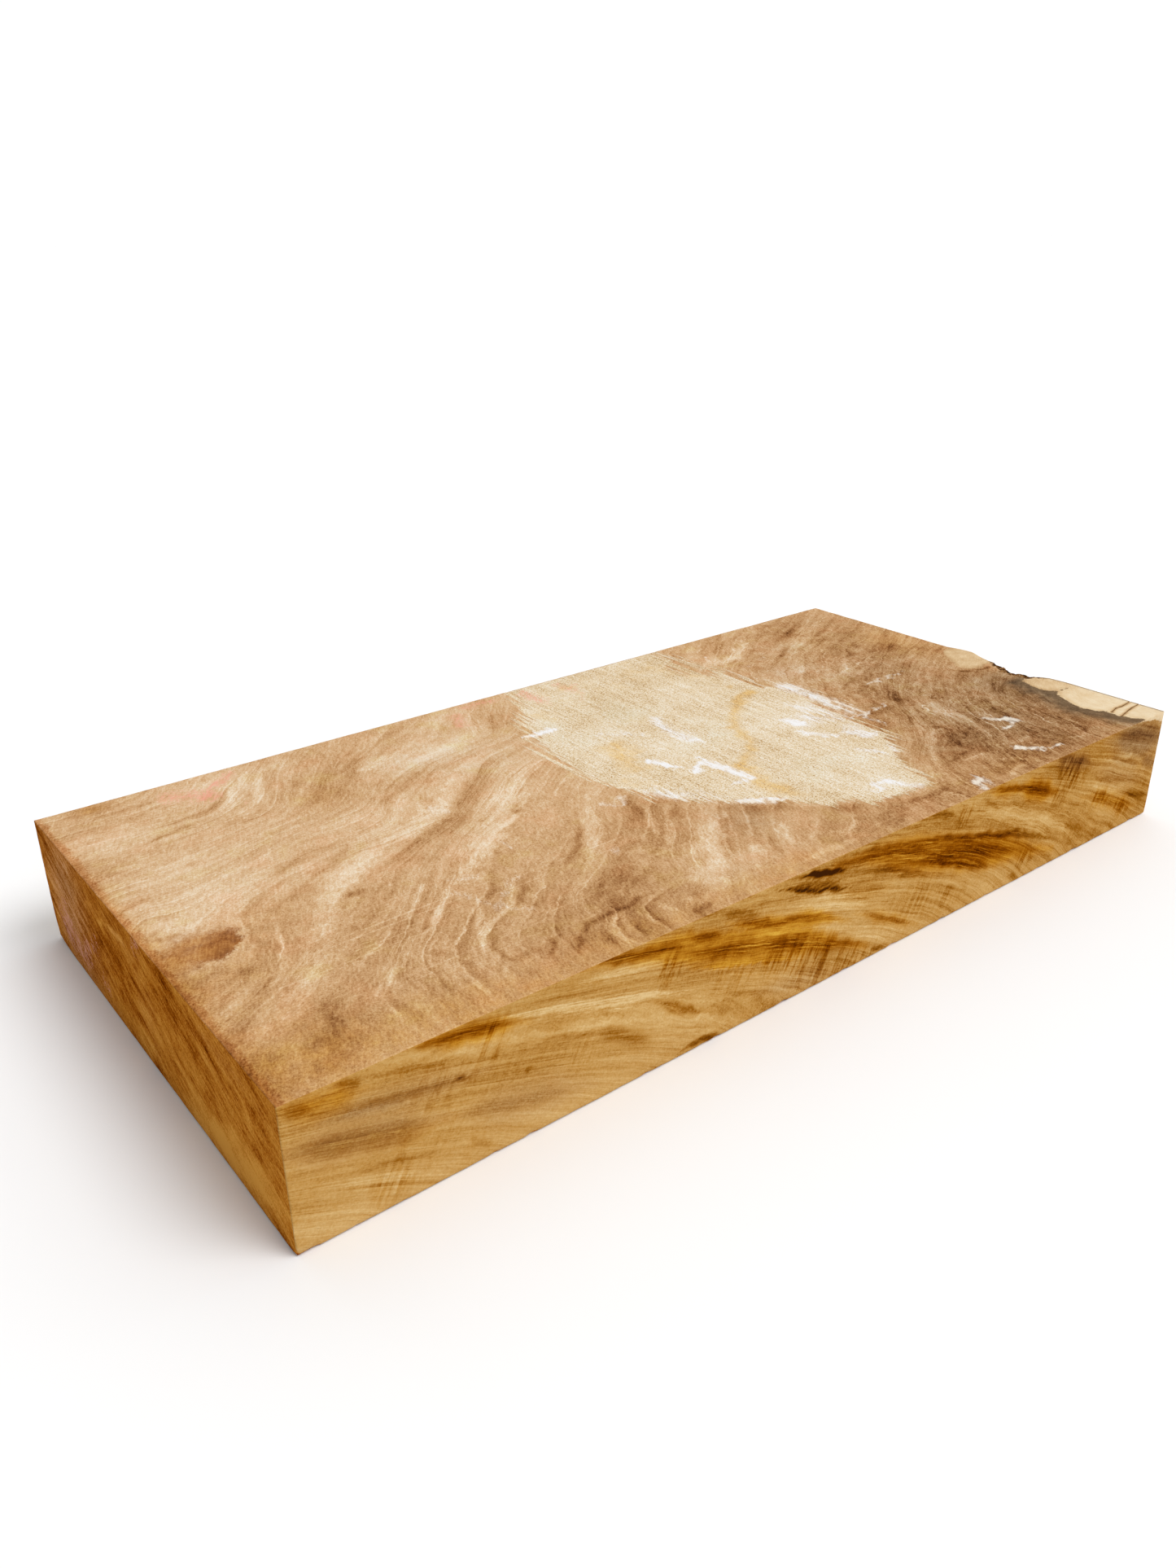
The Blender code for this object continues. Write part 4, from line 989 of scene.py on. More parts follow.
def check_cutter(line):
    """A wedge for one drying check, open at the top face, that narrows and rises towards its tip."""
    body = bmesh.new()
    rings = []
    for k, (x, y) in enumerate(line):
        share = k / (len(line) - 1)
        half = (CHECK_WIDTH + (CHECK_TIP_WIDTH - CHECK_WIDTH) * share) / 2
        depth = CHECK_DEPTH + (CHECK_TIP_DEPTH - CHECK_DEPTH) * share
        corners = ((y - half, THICKNESS + 1.0), (y + half, THICKNESS + 1.0), (y, THICKNESS - depth))
        rings.append([body.verts.new((x, across, up)) for across, up in corners])
    for ring, following in zip(rings, rings[1:]):
        for k in range(3):
            body.faces.new((ring[k], ring[(k + 1) % 3], following[(k + 1) % 3], following[k]))
    body.faces.new(rings[0])
    body.faces.new(rings[-1])
    bmesh.ops.recalc_face_normals(body, faces=body.faces)
    mesh = bpy.data.meshes.new("check_cutter")
    body.to_mesh(mesh)
    body.free()
    cutter = bpy.data.objects.new("check_cutter", mesh)
    bpy.context.scene.collection.objects.link(cutter)
    return cutter


def build_slab():
    """The slab's mesh in millimetres, with its drying checks cut into it."""
    xs = spaced(HALF_LENGTH, SPACING[0])
    zs = spaced(THICKNESS / 2, SPACING[2]) + THICKNESS / 2
    corners, faces = box_mesh(xs, across_positions(), zs)
    mesh = bpy.data.meshes.new("garapa_slab")
    mesh.from_pydata(shape_points(corners).tolist(), [], faces)
    slab = bpy.data.objects.new("garapa_slab", mesh)
    bpy.context.scene.collection.objects.link(slab)
    for line in CHECKS:
        cutter = check_cutter(line)
        difference = slab.modifiers.new("check", "BOOLEAN")
        difference.operation = "DIFFERENCE"
        difference.solver = "EXACT"
        difference.object = cutter
        bpy.context.view_layer.update()
        evaluated = slab.evaluated_get(bpy.context.evaluated_depsgraph_get())
        cut_mesh = bpy.data.meshes.new_from_object(evaluated)
        slab.modifiers.clear()
        slab.data = cut_mesh
        bpy.data.objects.remove(cutter, do_unlink=True)
    return slab


def add_crumbs(mesh):
    """Adds loose crumbs of bark to the mesh, lodged in the pocket; they are the last of its points."""
    draw = np.random.default_rng(CRUMB_SEED)
    body = bmesh.new()
    body.from_mesh(mesh)
    for _ in range(CRUMB_COUNT):
        y = draw.uniform(*CRUMB_SPAN)
        up = THICKNESS - draw.uniform(*CRUMB_DEPTHS)
        size = draw.uniform(*CRUMB_SIZES)
        x = float(end_surface(np.array([y]), np.array([up]))[0]) - size * draw.uniform(0.1, 0.6)
        made = bmesh.ops.create_icosphere(body, subdivisions=2, radius=1.0)["verts"]
        stretch = Matrix.Diagonal(
            (size * draw.uniform(0.6, 1.0), size * draw.uniform(0.7, 1.4), size * 0.6, 1.0))
        turn = Matrix.Rotation(draw.uniform(-0.7, 0.7), 4, "X")
        turn = turn @ Matrix.Rotation(draw.uniform(-0.8, 0.8), 4, "Z")
        corners = np.array([vert.co for vert in made])
        lumps = 1.0 + 0.20 * waves(corners + draw.uniform(-9.0, 9.0, 3), 0.9, 72)
        for vert, lump in zip(made, lumps):
            vert.co = turn @ stretch @ (vert.co * float(lump))
        highest = max(vert.co.z for vert in made)
        furthest = max(vert.co.x for vert in made)
        x = min(x, HALF_LENGTH - furthest)
        up = min(up, THICKNESS - highest)
        bmesh.ops.translate(body, verts=made, vec=(x, y, up))
    body.to_mesh(mesh)
    body.free()


def mesh_points(mesh):
    flat = np.empty(len(mesh.vertices) * 3)
    mesh.vertices.foreach_get("co", flat)
    return flat.reshape(-1, 3)


def store(mesh, name, values):
    """Keeps one number for each of the mesh's points under this name."""
    mesh.attributes.new(name, "FLOAT", "POINT").data.foreach_set("value", np.asarray(values, np.float32))


def stroke_profiles(places, strokes, ends=STROKE_TAPER):
    """How near each place is to a stroke, from 1 on it to 0 well off it, and the stroke's strength."""
    nearness = np.zeros(len(places))
    strength = np.zeros(len(places))
    for half_width, change, points in strokes:
        line = curve_through(points)
        reach = STROKE_REACH * half_width
        near = np.all((places > line.min(0) - reach) & (places < line.max(0) + reach), axis=1)
        chosen = np.nonzero(near)[0]
        if len(chosen) == 0:
            continue
        away, share = distance_to_line(places[chosen], line)
        taper = smooth_rise(share, 0.0, ends) * (1.0 - smooth_rise(share, 1.0 - ends, 1.0))
        profile = np.clip(1.0 - away / (reach * (0.35 + 0.65 * taper)), 0.0, 1.0) * (0.4 + 0.6 * taper)
        nearer = profile > nearness[chosen]
        nearness[chosen[nearer]] = profile[nearer]
        strength[chosen] = np.maximum(strength[chosen], abs(change) * smooth_rise(profile, 0.0, 0.12))
    return nearness, strength


def stroke_field(places, strokes, ends=STROKE_TAPER):
    """The strokes' strengths, fading away from each stroke's middle."""
    nearness, strength = stroke_profiles(places, strokes, ends)
    return nearness * strength


def wash_field(places, washes):
    """The sum of broad soft spots: each is (x, y, reach along, reach across, turn in degrees, change)."""
    field = np.zeros(len(places))
    for x, y, along, across, turn, change in washes:
        c, s = math.cos(math.radians(turn)), math.sin(math.radians(turn))
        dx, dy = places[:, 0] - x, places[:, 1] - y
        u, v = (c * dx + s * dy) / along, (c * dy - s * dx) / across
        field += change * np.exp(-(u * u + v * v))
    return field


class Places:
    """The mesh's points, which of the slab's faces each is on, and its place there and on the growth."""

    def __init__(self, points):
        self.points = points
        self.x, self.y, self.z = x, y, z = points.T
        self.depth = THICKNESS - z
        self.from_end = end_surface(y, z) - x
        inner = (np.abs(y) < HALF_WIDTH - 0.2) & (x > -HALF_LENGTH + 0.2) & (np.abs(self.from_end) >= 0.4)
        on_top = (z > THICKNESS - 0.3) | ((z > THICKNESS - 5.0) & inner)
        face = np.select([on_top, z < 0.3, y < -HALF_WIDTH + 0.4, y > HALF_WIDTH - 0.4,
                          x < -HALF_LENGTH + 0.4], range(5), 5)
        self.top, self.bottom, self.near, _, self.left, self.right = (face == number for number in range(6))
        self.plan = points[:, :2]
        self.front = points[:, [0, 2]]
        self.side = points[:, [1, 2]]
        self.growth = place_on_growth(points)
        self.ring = ring_numbers(self.growth)
        self.bent = self.plan + np.column_stack([waves(self.plan, 9.0, seed) for seed in (51, 52)])
        self.bent_front = self.front + np.column_stack([0.8 * waves(self.front, 8.0, 53),
                                                        0.5 * waves(self.front, 8.0, 54)])


def paint_tones(mesh, at):
    """The tones, bands and tints of the faces that are seen, and plain ones for the rest."""
    drift = 0.05 * waves(np.column_stack([at.ring / 2.2, at.growth / 150.0]), 1.0, 41)
    drift += 0.03 * waves(at.points, 60.0, 42)
    hidden = 0.10 * waves(np.column_stack([at.ring / 3.0, at.growth / 120.0]), 1.0, 43)
    seen = [at.top, at.near, at.left]
    tones = [TOP_TONE + wash_field(at.bent, TOP_WASHES) + 0.5 * drift,
             FRONT_TONE + wash_field(at.bent_front, FRONT_WASHES) + 0.7 * drift,
             LEFT_TONE + wash_field(at.side, LEFT_WASHES) + 0.6 * drift]
    store(mesh, "tone", np.select(seen, tones, HIDDEN_TONE + hidden + drift))
    for name, sign in (("dark", -1), ("light", 1)):
        found = [stroke_profiles(places, [stroke for stroke in strokes if sign * stroke[1] > 0.0])
                 for places, strokes in ((at.bent, TOP_STROKES), (at.bent_front, FRONT_STROKES),
                                         (at.side, LEFT_STROKES))]
        nearness, strength = zip(*found)
        store(mesh, name, np.select(seen, nearness, 0.0))
        store(mesh, name + "_depth", np.select(seen, strength, 0.0))

    amber = [wash_field(at.bent, TOP_AMBER_WASHES),
             FRONT_AMBER_BASE + 1.5 * stroke_field(at.bent_front, FRONT_AMBER),
             LEFT_AMBER + wash_field(at.side, LEFT_AMBER_WASHES), RIGHT_AMBER]
    front_grey = stroke_field(at.front, FRONT_GREY)
    grey = [wash_field(at.bent, TOP_GREY_WASHES), 1.3 * front_grey, stroke_field(at.side, LEFT_GREY)]
    store(mesh, "amber", np.clip(np.select([*seen, at.right], amber, HIDDEN_AMBER), 0.0, 1.0))
    store(mesh, "grey", np.clip(np.select(seen, grey, 0.0), 0.0, 1.0))
    dull = np.clip(0.8 * front_grey, 0.0, 0.6) * at.near
    store(mesh, "golden", ~(at.top | at.bottom) * (1.0 - dull))


def paint_grain(mesh, at):
    """Where the grain is livelier, rippled or scratched, and where the growth lines show."""
    store(mesh, "ring", at.ring)
    store(mesh, "end_grain", (at.left | at.right).astype(float))
    ripple = 0.06 + 0.12 * waves(at.points, 40.0, 44) + 1.4 * at.near * stroke_field(at.front, FRONT_RIPPLE)
    store(mesh, "ripple", np.clip(ripple, 0.0, 1.2) * ~at.top)
    calm = 0.45 * at.near * (1.0 - smooth_rise(at.x, -230.0, -70.0))
    store(mesh, "lively", wash_field(at.plan, LIVELY) * at.top - calm)
    store(mesh, "scratched", wash_field(at.plan, SCRATCHED) * at.top)
    zones = at.top * stroke_field(at.plan, LINE_ZONES)
    store(mesh, "bands", np.clip(0.55 + 0.25 * waves(at.growth, 70.0, 46) + 0.5 * zones, 0.0, 1.4))
    store(mesh, "lines", np.clip(0.3 + 0.3 * waves(at.growth, 60.0, 45) + 1.4 * zones, 0.0, 1.2))


def paint_stains(mesh, at):
    """Knots and stains, and for the round blotch the distance from its middle and its darker side."""
    store(mesh, "stain", wash_field(at.plan, STAINS) * at.top)
    from_middle = (at.plan - BLOTCH_MIDDLE) / BLOTCH_REACH
    from_middle += 0.08 * np.column_stack([waves(at.plan, 14.0, seed) for seed in (61, 62)])
    away = np.linalg.norm(from_middle, axis=1)
    facing = (from_middle @ BLOTCH_DARK_SIDE) / np.maximum(away, 0.1)
    store(mesh, "blotch", np.where(at.top, away, NO_BLOTCH))
    store(mesh, "blotch_rim", smooth_rise(facing, -0.3, 0.8))


def paint_patch(mesh, at):
    """The patch that is still as sawn: how far each place is outside it, and its own tones and tints."""
    outside = signed_distance(at.plan, np.array(SAWN_PATCH))
    outside += stroke_field(at.plan, SHOW_THROUGH, MARK_TAPER)
    ochre = 0.9 * stroke_field(at.bent, SAWN_AMBER, MARK_TAPER) + wash_field(at.plan, SAWN_AMBER_WASHES)
    store(mesh, "sawn", np.where(at.top, outside, OFF_FACE))
    store(mesh, "ragged", 1.0 + wash_field(at.plan, RAGGED))
    store(mesh, "sawn_tone", wash_field(at.plan, SAWN_WASHES))
    store(mesh, "sawn_amber", ochre)
    store(mesh, "sawn_green", wash_field(at.plan, SAWN_GREEN))


def paint_marks(mesh, at):
    """Chalk and crayon on the top, and wax on the left end."""
    frayed = at.plan + np.column_stack([1.2 * waves(at.plan, 5.0, 55), 2.0 * waves(at.plan, 6.0, 56)])
    chalk = 0.85 * stroke_field(frayed, CHALK, MARK_TAPER) + 0.78 * wash_field(at.plan, CHALK_HAZE)
    crayon = 1.2 * stroke_field(at.plan, CRAYON, MARK_TAPER)
    store(mesh, "chalk", np.clip(chalk * at.top, 0.0, 1.4))
    store(mesh, "crayon", np.clip(crayon * at.top, 0.0, 1.0))
    store(mesh, "wax", stroke_field(at.side, LEFT_PINK, MARK_TAPER) * at.left)


def paint_right_end(mesh, at, own_points):
    """Sapwood with painted shade in its drying checks, bark, the torn edge, and where the painted shade along
    the right arris goes; points after the slab's own are those of the crumbs.
    """
    top_sap = np.minimum(*(signed_distance(at.plan, np.array(outline)) for outline in SAPWOOD))
    corner_sap = signed_distance(at.front, np.array(FRONT_SAPWOOD))
    end_sap = top_sap + 0.9 * at.depth
    store(mesh, "sap", np.select([at.top, at.near, at.right], [top_sap, corner_sap, end_sap], NO_SAPWOOD))
    # Painted shade in the drying checks: the sapwood's tone is made darker in each check and just beside it,
    # where shade falls in the cracks
    from_check = np.min([distance_to_line(at.plan, np.array(line, float))[0] for line in CHECKS], axis=0)
    in_check = np.exp(-(from_check / 0.9) ** 2) * ~(at.right | at.bottom)
    store(mesh, "sap_and_check_shade_tone", np.interp(at.y, *zip(*SAP_TONES)) - 0.9 * in_check)
    store(mesh, "rim", at.top * smooth_rise(-at.y, 50.0, 60.0))

    hollow = np.maximum(-past_cut(at.y + POCKET_LEAN * at.depth), 0.0)
    bark_edge = smooth_rise(hollow, 1.0, 6.0) * np.exp(-(at.from_end / 4.0) ** 2) * at.top
    in_pocket = at.right * smooth_rise(hollow, 0.5, 4.0) * (1.0 - smooth_rise(at.depth, 20.0, 56.0))
    bark = np.clip(np.maximum(bark_edge, in_pocket) + stroke_field(at.plan, BARK_BITS) * at.top, 0.0, 1.0)
    bark[own_points:] = 2.0
    store(mesh, "bark", bark)
    # The distance from the right end on the top below y = -60, which places the painted shade along that
    # arris
    store(mesh, "from_end", np.where(at.top & (at.y < -60.0), at.from_end, OFF_FACE))


def paint_slab(mesh, own_points):
    """Works out the colouring at the mesh's points and stores it under the names that the material reads."""
    at = Places(mesh_points(mesh))
    for paint in (paint_tones, paint_grain, paint_stains, paint_patch, paint_marks):
        paint(mesh, at)
    paint_right_end(mesh, at, own_points)


def unwrap(mesh):
    """Lays the slab's faces out flat in one map, to scale, with the seen ones largest."""
    layer = mesh.uv_layers.new(name="OFBake")
    corners = np.empty(len(mesh.loops), int)
    mesh.loops.foreach_get("vertex_index", corners)
    sizes = np.empty(len(mesh.polygons), int)
    mesh.polygons.foreach_get("loop_total", sizes)

    def at_corners(name):
        found = np.empty(len(mesh.polygons) * 3)
        mesh.polygons.foreach_get(name, found)
        return np.repeat(found.reshape(-1, 3), sizes, axis=0).T

    x, y, z = mesh_points(mesh)[corners].T
    nx, ny, nz = at_corners("normal")
    cx, cy, cz = at_corners("center")
    inner = np.abs(cy) < HALF_WIDTH - 2.2
    in_check = inner & (cx < HALF_LENGTH - 0.5) & (cz < THICKNESS - 0.02) & (np.abs(nz) < 0.4)
    in_check &= (cz > THICKNESS - CHECK_DEPTH - 1.0) & (cx > CHECKS[1][-1][0] - 1.0)
    in_check &= (cy < -120.0) & (cy > -150.0)
    is_top = ~in_check & (cz > THICKNESS - 6.0) & (nz > 0.5)
    is_bottom = ~in_check & (cz < 4.0) & (nz < -0.5)
    rest = ~(in_check | is_top | is_bottom)
    is_left = rest & (nx < -0.7)
    rest &= ~is_left
    is_right = rest & ((nx > 0.7) | ((cx > HALF_LENGTH - 20.0) & inner))
    rest &= ~is_right

    u = np.zeros(len(x))
    v = np.zeros(len(x))
    row = MAP_GAP
    beside_left = SEEN_SCALE * WIDTH + 3 * MAP_GAP
    check_across = x + np.sign(ny) * 24.0 + (cy > -135.0) * 96.0
    for chosen, across, up, scale, start, ends_row in (
        (is_top, x, y, SEEN_SCALE, 0.0, True), (rest & (ny < 0.0), x, z, SEEN_SCALE, 0.0, True),
        (rest & (ny >= 0.0), -x, z, SEEN_SCALE, 0.0, True), (is_left, -y, z, SEEN_SCALE, 0.0, False),
        (is_right, y, z, SEEN_SCALE, beside_left, True), (is_bottom, x, -y, UNDER_SCALE, 0.0, True),
        (in_check, check_across, z, 1.0, 560.0, False),
    ):
        if not chosen.any():
            continue
        u[chosen] = (across[chosen] - across[chosen].min()) * scale + start
        v[chosen] = (up[chosen] - up[chosen].min()) * scale + row
        if ends_row:
            row += (up[chosen].max() - up[chosen].min()) * scale + MAP_GAP
    layer.data.foreach_set("uv", np.column_stack([u + MAP_GAP, v]).ravel() / MAP_SIDE)


class Shader:
    """Builds one material, node by node; a socket given where a number goes is linked."""

    def __init__(self, name):
        self.material = bpy.data.materials.new(name)
        self.material.use_nodes = True
        self.tree = self.material.node_tree
        self.surface = self.tree.nodes["Principled BSDF"]

    def put(self, socket, value):
        if isinstance(value, bpy.types.NodeSocket):
            self.tree.links.new(value, socket)
        elif socket.type == "RGBA" and len(value) == 3:
            socket.default_value = (*value, 1.0)
        else:
            socket.default_value = value

    def node(self, kind, **inputs):
        made = self.tree.nodes.new(kind)
        for name, value in inputs.items():
            self.put(made.inputs[name], value)
        return made

    def field(self, name):
        made = self.tree.nodes.new("ShaderNodeAttribute")
        made.attribute_name = name
        return made.outputs["Fac"]

    def math(self, operation, a, b=0.0, c=0.0, clamp=False):
        made = self.tree.nodes.new("ShaderNodeMath")
        made.operation = operation
        made.use_clamp = clamp
        for socket, value in zip(made.inputs, (a, b, c)):
            self.put(socket, value)
        return made.outputs[0]

    def total(self, *terms):
        """The sum of the terms, each a socket or number, or a (socket, factor) pair."""
        found = 0.0
        for term in terms:
            if isinstance(term, tuple):
                found = self.math("MULTIPLY_ADD", term[0], term[1], found)
            else:
                found = self.math("ADD", term, found)
        return found

    def sway(self, value):
        return self.math("SUBTRACT", value, 0.5)

    def product(self, first, *others):
        for other in others:
            first = self.math("MULTIPLY", first, other)
        return first

    def rise(self, value, start, stop):
        """0 below start, 1 past stop and a smooth S between, whichever of them is larger."""
        made = self.tree.nodes.new("ShaderNodeMapRange")
        made.interpolation_type = "SMOOTHSTEP"
        for name, given in (("Value", value), ("From Min", start), ("From Max", stop)):
            self.put(made.inputs[name], given)
        return made.outputs["Result"]

    def blend(self, share, a, b):
        """The number a where the share is 0 and b where it is 1."""
        return self.math("MULTIPLY_ADD", share, self.math("SUBTRACT", b, a), a)

    def vector(self, x, y, z):
        return self.node("ShaderNodeCombineXYZ", X=x, Y=y, Z=z).outputs[0]

    def noise(self, vector, scale=1.0, detail=2.0, roughness=0.5):
        made = self.node("ShaderNodeTexNoise", Vector=vector, Scale=scale, Detail=detail, Roughness=roughness)
        return made.outputs["Fac"]

    def mix(self, factor, a, b, blend="MIX"):
        made = self.tree.nodes.new("ShaderNodeMix")
        made.data_type = "RGBA"
        made.blend_type = blend
        self.put(made.inputs[0], factor)
        self.put(made.inputs[6], a)
        self.put(made.inputs[7], b)
        return made.outputs[2]

    def tinted(self, shade, share, tint):
        """The shade, multiplied by the tint as far as the share says."""
        return self.mix(share, shade, self.mix(1.0, shade, tint, "MULTIPLY"))

    def ramp(self, value, colours):
        """A colour from evenly spaced ones, for a value from 0 to 1."""
        made = self.tree.nodes.new("ShaderNodeValToRGB")
        stops = made.color_ramp.elements
        while len(stops) < len(colours):
            stops.new(0.5)
        for k, (stop, colour) in enumerate(zip(stops, colours)):
            stop.position = k / (len(colours) - 1)
            stop.color = (*colour, 1.0)
        self.put(made.inputs[0], value)
        return made.outputs[0]


def stretched(s, per_x, per_y, detail, roughness):
    """Noise over the top face with this many features per millimetre along x and y."""
    return s.noise(s.vector(s.product(s.x, per_x), s.product(s.y, per_y), 0.0), 1.0, detail, roughness)


def streaks(s, per_ring, along, detail, roughness):
    """Noise with this many features per growth ring, and per millimetre along the growth lines."""
    spot = s.vector(s.product(s.ring, per_ring), s.product(s.math("ADD", s.x, s.z), along),
                    s.product(s.y, along))
    return s.noise(spot, 1.0, detail, roughness)


def lay_grain(s):
    """Gives the shader the places, growth rings and noises that the parts of the colouring share.

    Each of these noises has a half taken off, so that it sways about 0.
    """
    in_mm = s.tree.nodes.new("ShaderNodeVectorMath")
    in_mm.operation = "SCALE"
    s.put(in_mm.inputs[0], s.node("ShaderNodeTexCoord").outputs["Object"])
    s.put(in_mm.inputs["Scale"], 1.0 / MM)
    s.place = in_mm.outputs[0]
    s.x, s.y, s.z = s.node("ShaderNodeSeparateXYZ", Vector=s.place).outputs
    s.golden = s.field("golden")
    s.faded = s.math("SUBTRACT", 1.0, s.golden)
    s.end_grain = s.field("end_grain")
    s.lively = s.field("lively")
    s.mottle, s.grit, s.tufts = (s.sway(s.noise(s.place, *kind)) for kind in (MOTTLE, GRIT, TUFTS))

    # The growth rings wander a little, and the streaks run along them
    s.ring = s.total(s.field("ring"),
                     (s.sway(s.noise(s.place, *WANDER)), s.total(0.60, (s.lively, 0.40))),
                     (s.sway(s.noise(s.place, *SHIVER)),
                      s.total(0.10, (s.field("lines"), 0.35), (s.lively, 0.40))))
    s.broad, s.middle, s.fine, s.hair = (s.sway(streaks(s, *kind)) for kind in (BROAD, MIDDLE, FINE, HAIR))

    # Raised fibres, all leaning one way whatever the growth lines do
    lean, climb = math.radians(FIBRE_LEAN), math.radians(END_FIBRE_LEAN)
    over = s.math("MULTIPLY_ADD", s.x, math.sin(lean), s.product(s.y, -math.cos(lean)))
    along = s.math("MULTIPLY_ADD", s.x, math.cos(lean), s.product(s.y, math.sin(lean)))
    end_over = s.math("MULTIPLY_ADD", s.y, math.sin(climb), s.product(s.z, math.cos(climb)))
    end_along = s.math("MULTIPLY_ADD", s.y, -math.cos(climb), s.product(s.z, math.sin(climb)))
    spot = s.vector(s.blend(s.end_grain, s.product(over, 0.85), s.product(end_over, 0.62)),
                    s.blend(s.end_grain, s.product(along, 0.16), s.product(end_along, 0.045)),
                    s.product(s.z, 0.75, s.math("SUBTRACT", 1.0, s.end_grain)))
    s.fibres = s.sway(s.noise(spot, 1.0, 3.0, 0.65))
    end_spot = s.vector(s.product(end_over, 0.13), s.product(end_along, 0.02), 0.0)
    s.end_bands = s.sway(s.noise(end_spot, 1.0, 2.0, 0.5))


def growth_marks(s):
    """The thin cream lines along the rings, and the shade between them: both come and go."""
    gate = s.rise(streaks(s, *LINE_GATE), 0.42, 0.60)
    second_gate = s.rise(streaks(s, *SECOND_GATE), 0.44, 0.62)
    shade_gate = s.rise(streaks(s, *SHADE_GATE), 0.34, 0.62)

    def contour(per_ring, half_width):
        off_line = s.math("ABSOLUTE", s.sway(s.math("FRACT", s.product(s.ring, per_ring))))
        return s.math("SUBTRACT", 1.0, s.rise(off_line, 0.25 * half_width, half_width))

    def shade(per_ring):
        """Darkest just after a line, fading towards the next."""
        after_line = s.math("FRACT", s.math("MULTIPLY_ADD", s.ring, per_ring, 0.5))
        fading = s.math("POWER", s.math("SUBTRACT", 1.0, after_line), 1.7)
        return s.product(fading, s.rise(after_line, 0.0, 0.08))

    lines = s.total(s.product(contour(1.0, 0.08), gate), (s.product(contour(3.0, 0.22), second_gate), 0.7))
    shades = s.total(s.product(shade(1.0), shade_gate), (s.product(shade(3.0), second_gate), 0.75))
    return s.product(lines, s.field("lines")), s.product(shades, s.field("bands"))


def wood_tone(s):
    """How pale the wood is: the listed tones and bands, with every kind of grain over them."""
    fraying = s.product(s.total(s.fine, s.middle, (s.hair, 0.4), (s.grit, 0.3)),
                        s.total(0.7, (s.golden, 0.25)))

    def band(name):
        """Listed strokes, whose edges fray along the streaks."""
        nearness = s.field(name)
        frayed = s.rise(s.total(nearness, fraying), 0.0, 1.0)
        return s.product(frayed, s.rise(nearness, 0.0, 0.22), s.field(name + "_depth"))

    # Ripples stand across the streaks where the grain is interlocked
    across = s.vector(s.math("MULTIPLY_ADD", s.x, 0.34, s.product(s.z, -0.17)), s.product(s.ring, 0.20),
                      s.product(s.y, 0.12))
    s.ripple = s.product(s.rise(s.noise(across, 1.0, 2.0, 0.6), 0.40, 0.68), s.field("ripple"))
    s.pores = s.product(s.rise(streaks(s, *PORES), 0.60, 0.74), 0.09)
    scratch = s.product(s.rise(stretched(s, *SCRATCH), 0.56, 0.70), s.field("scratched"))
    from_left = s.total(s.math("SUBTRACT", s.x, LOW.x / MM), (s.mottle, 9.0), (s.tufts, 5.0), (s.grit, 3.0))
    s.worn = s.product(s.rise(from_left, 5.2, 1.2), s.faded)
    cream_lines, ring_shade = growth_marks(s)
    dark = band("dark")
    ambered = s.product(s.field("amber"), s.golden)
    growth_share = s.math("MULTIPLY_ADD", s.end_grain, -0.85, 1.0)
    return s.total(
        s.field("tone"),
        (s.broad, s.total(0.30, (s.golden, 0.06), (s.lively, 0.16))),
        (s.middle, s.product(
            s.total(0.26, (s.golden, 0.14), (dark, 0.9), (ambered, 0.35), (s.lively, 0.18)), growth_share)),
        (s.fine, s.product(
            s.total(0.22, (s.golden, 0.10), (dark, 1.5), (ambered, 0.55), (s.lively, 0.20)), growth_share)),
        (s.hair, s.product(s.total(0.18, (s.golden, 0.12), (dark, 0.6), (s.lively, 0.16)), growth_share)),
        (s.mottle, s.total(0.14, (s.faded, 0.10), (s.end_grain, 0.54), (s.lively, 0.30))),
        (s.tufts, s.total((s.end_grain, 0.50), (s.lively, 0.16))),
        (s.end_bands, s.product(s.end_grain, 0.85)),
        (s.grit, s.total(0.48, (s.faded, 0.30), (s.end_grain, 0.80), (s.lively, 0.25))),
        (s.fibres, s.total(0.14, (s.faded, 0.30), (s.end_grain, 0.80))),
        (s.worn, -0.16),
        (cream_lines, s.total(0.14, (s.golden, -0.08))),
        (ring_shade, s.product(growth_share, -0.15)),
        (dark, s.total(-1.25, (s.golden, 0.15))),
        (band("light"), s.total(1.15, (s.golden, -0.20))),
        (s.ripple, -0.23),
        (s.pores, -1.0),
        (scratch, 0.16),
        (s.field("stain"), -1.0),
    )


def figured_wood(s):
    """The wood's own colour, before anything else lies on it."""
    tone = wood_tone(s)
    wood = s.mix(s.golden, s.ramp(tone, TOP_COLOURS), s.ramp(tone, SIDE_COLOURS))
    amber = s.rise(s.total(s.field("amber"), (s.mottle, 0.4), (s.fine, 0.3), (s.ripple, 0.35)), 0.0, 1.0)
    grey = s.rise(s.total(s.field("grey"), (s.mottle, 0.5)), 0.0, 1.0)
    cast = s.noise(s.place, *CAST)
    for share, tint in (
        (amber, AMBER_TINT), (grey, GREY_TINT), (s.end_grain, END_TINT), (s.product(s.worn, 0.8), WORN_TINT),
        (s.product(s.rise(cast, 0.48, 0.72), s.faded, 0.50), PINK_TINT),
        (s.product(s.rise(cast, 0.46, 0.26), s.faded, 0.55), OLIVE_TINT),
    ):
        wood = s.tinted(wood, share, tint)
    return wood


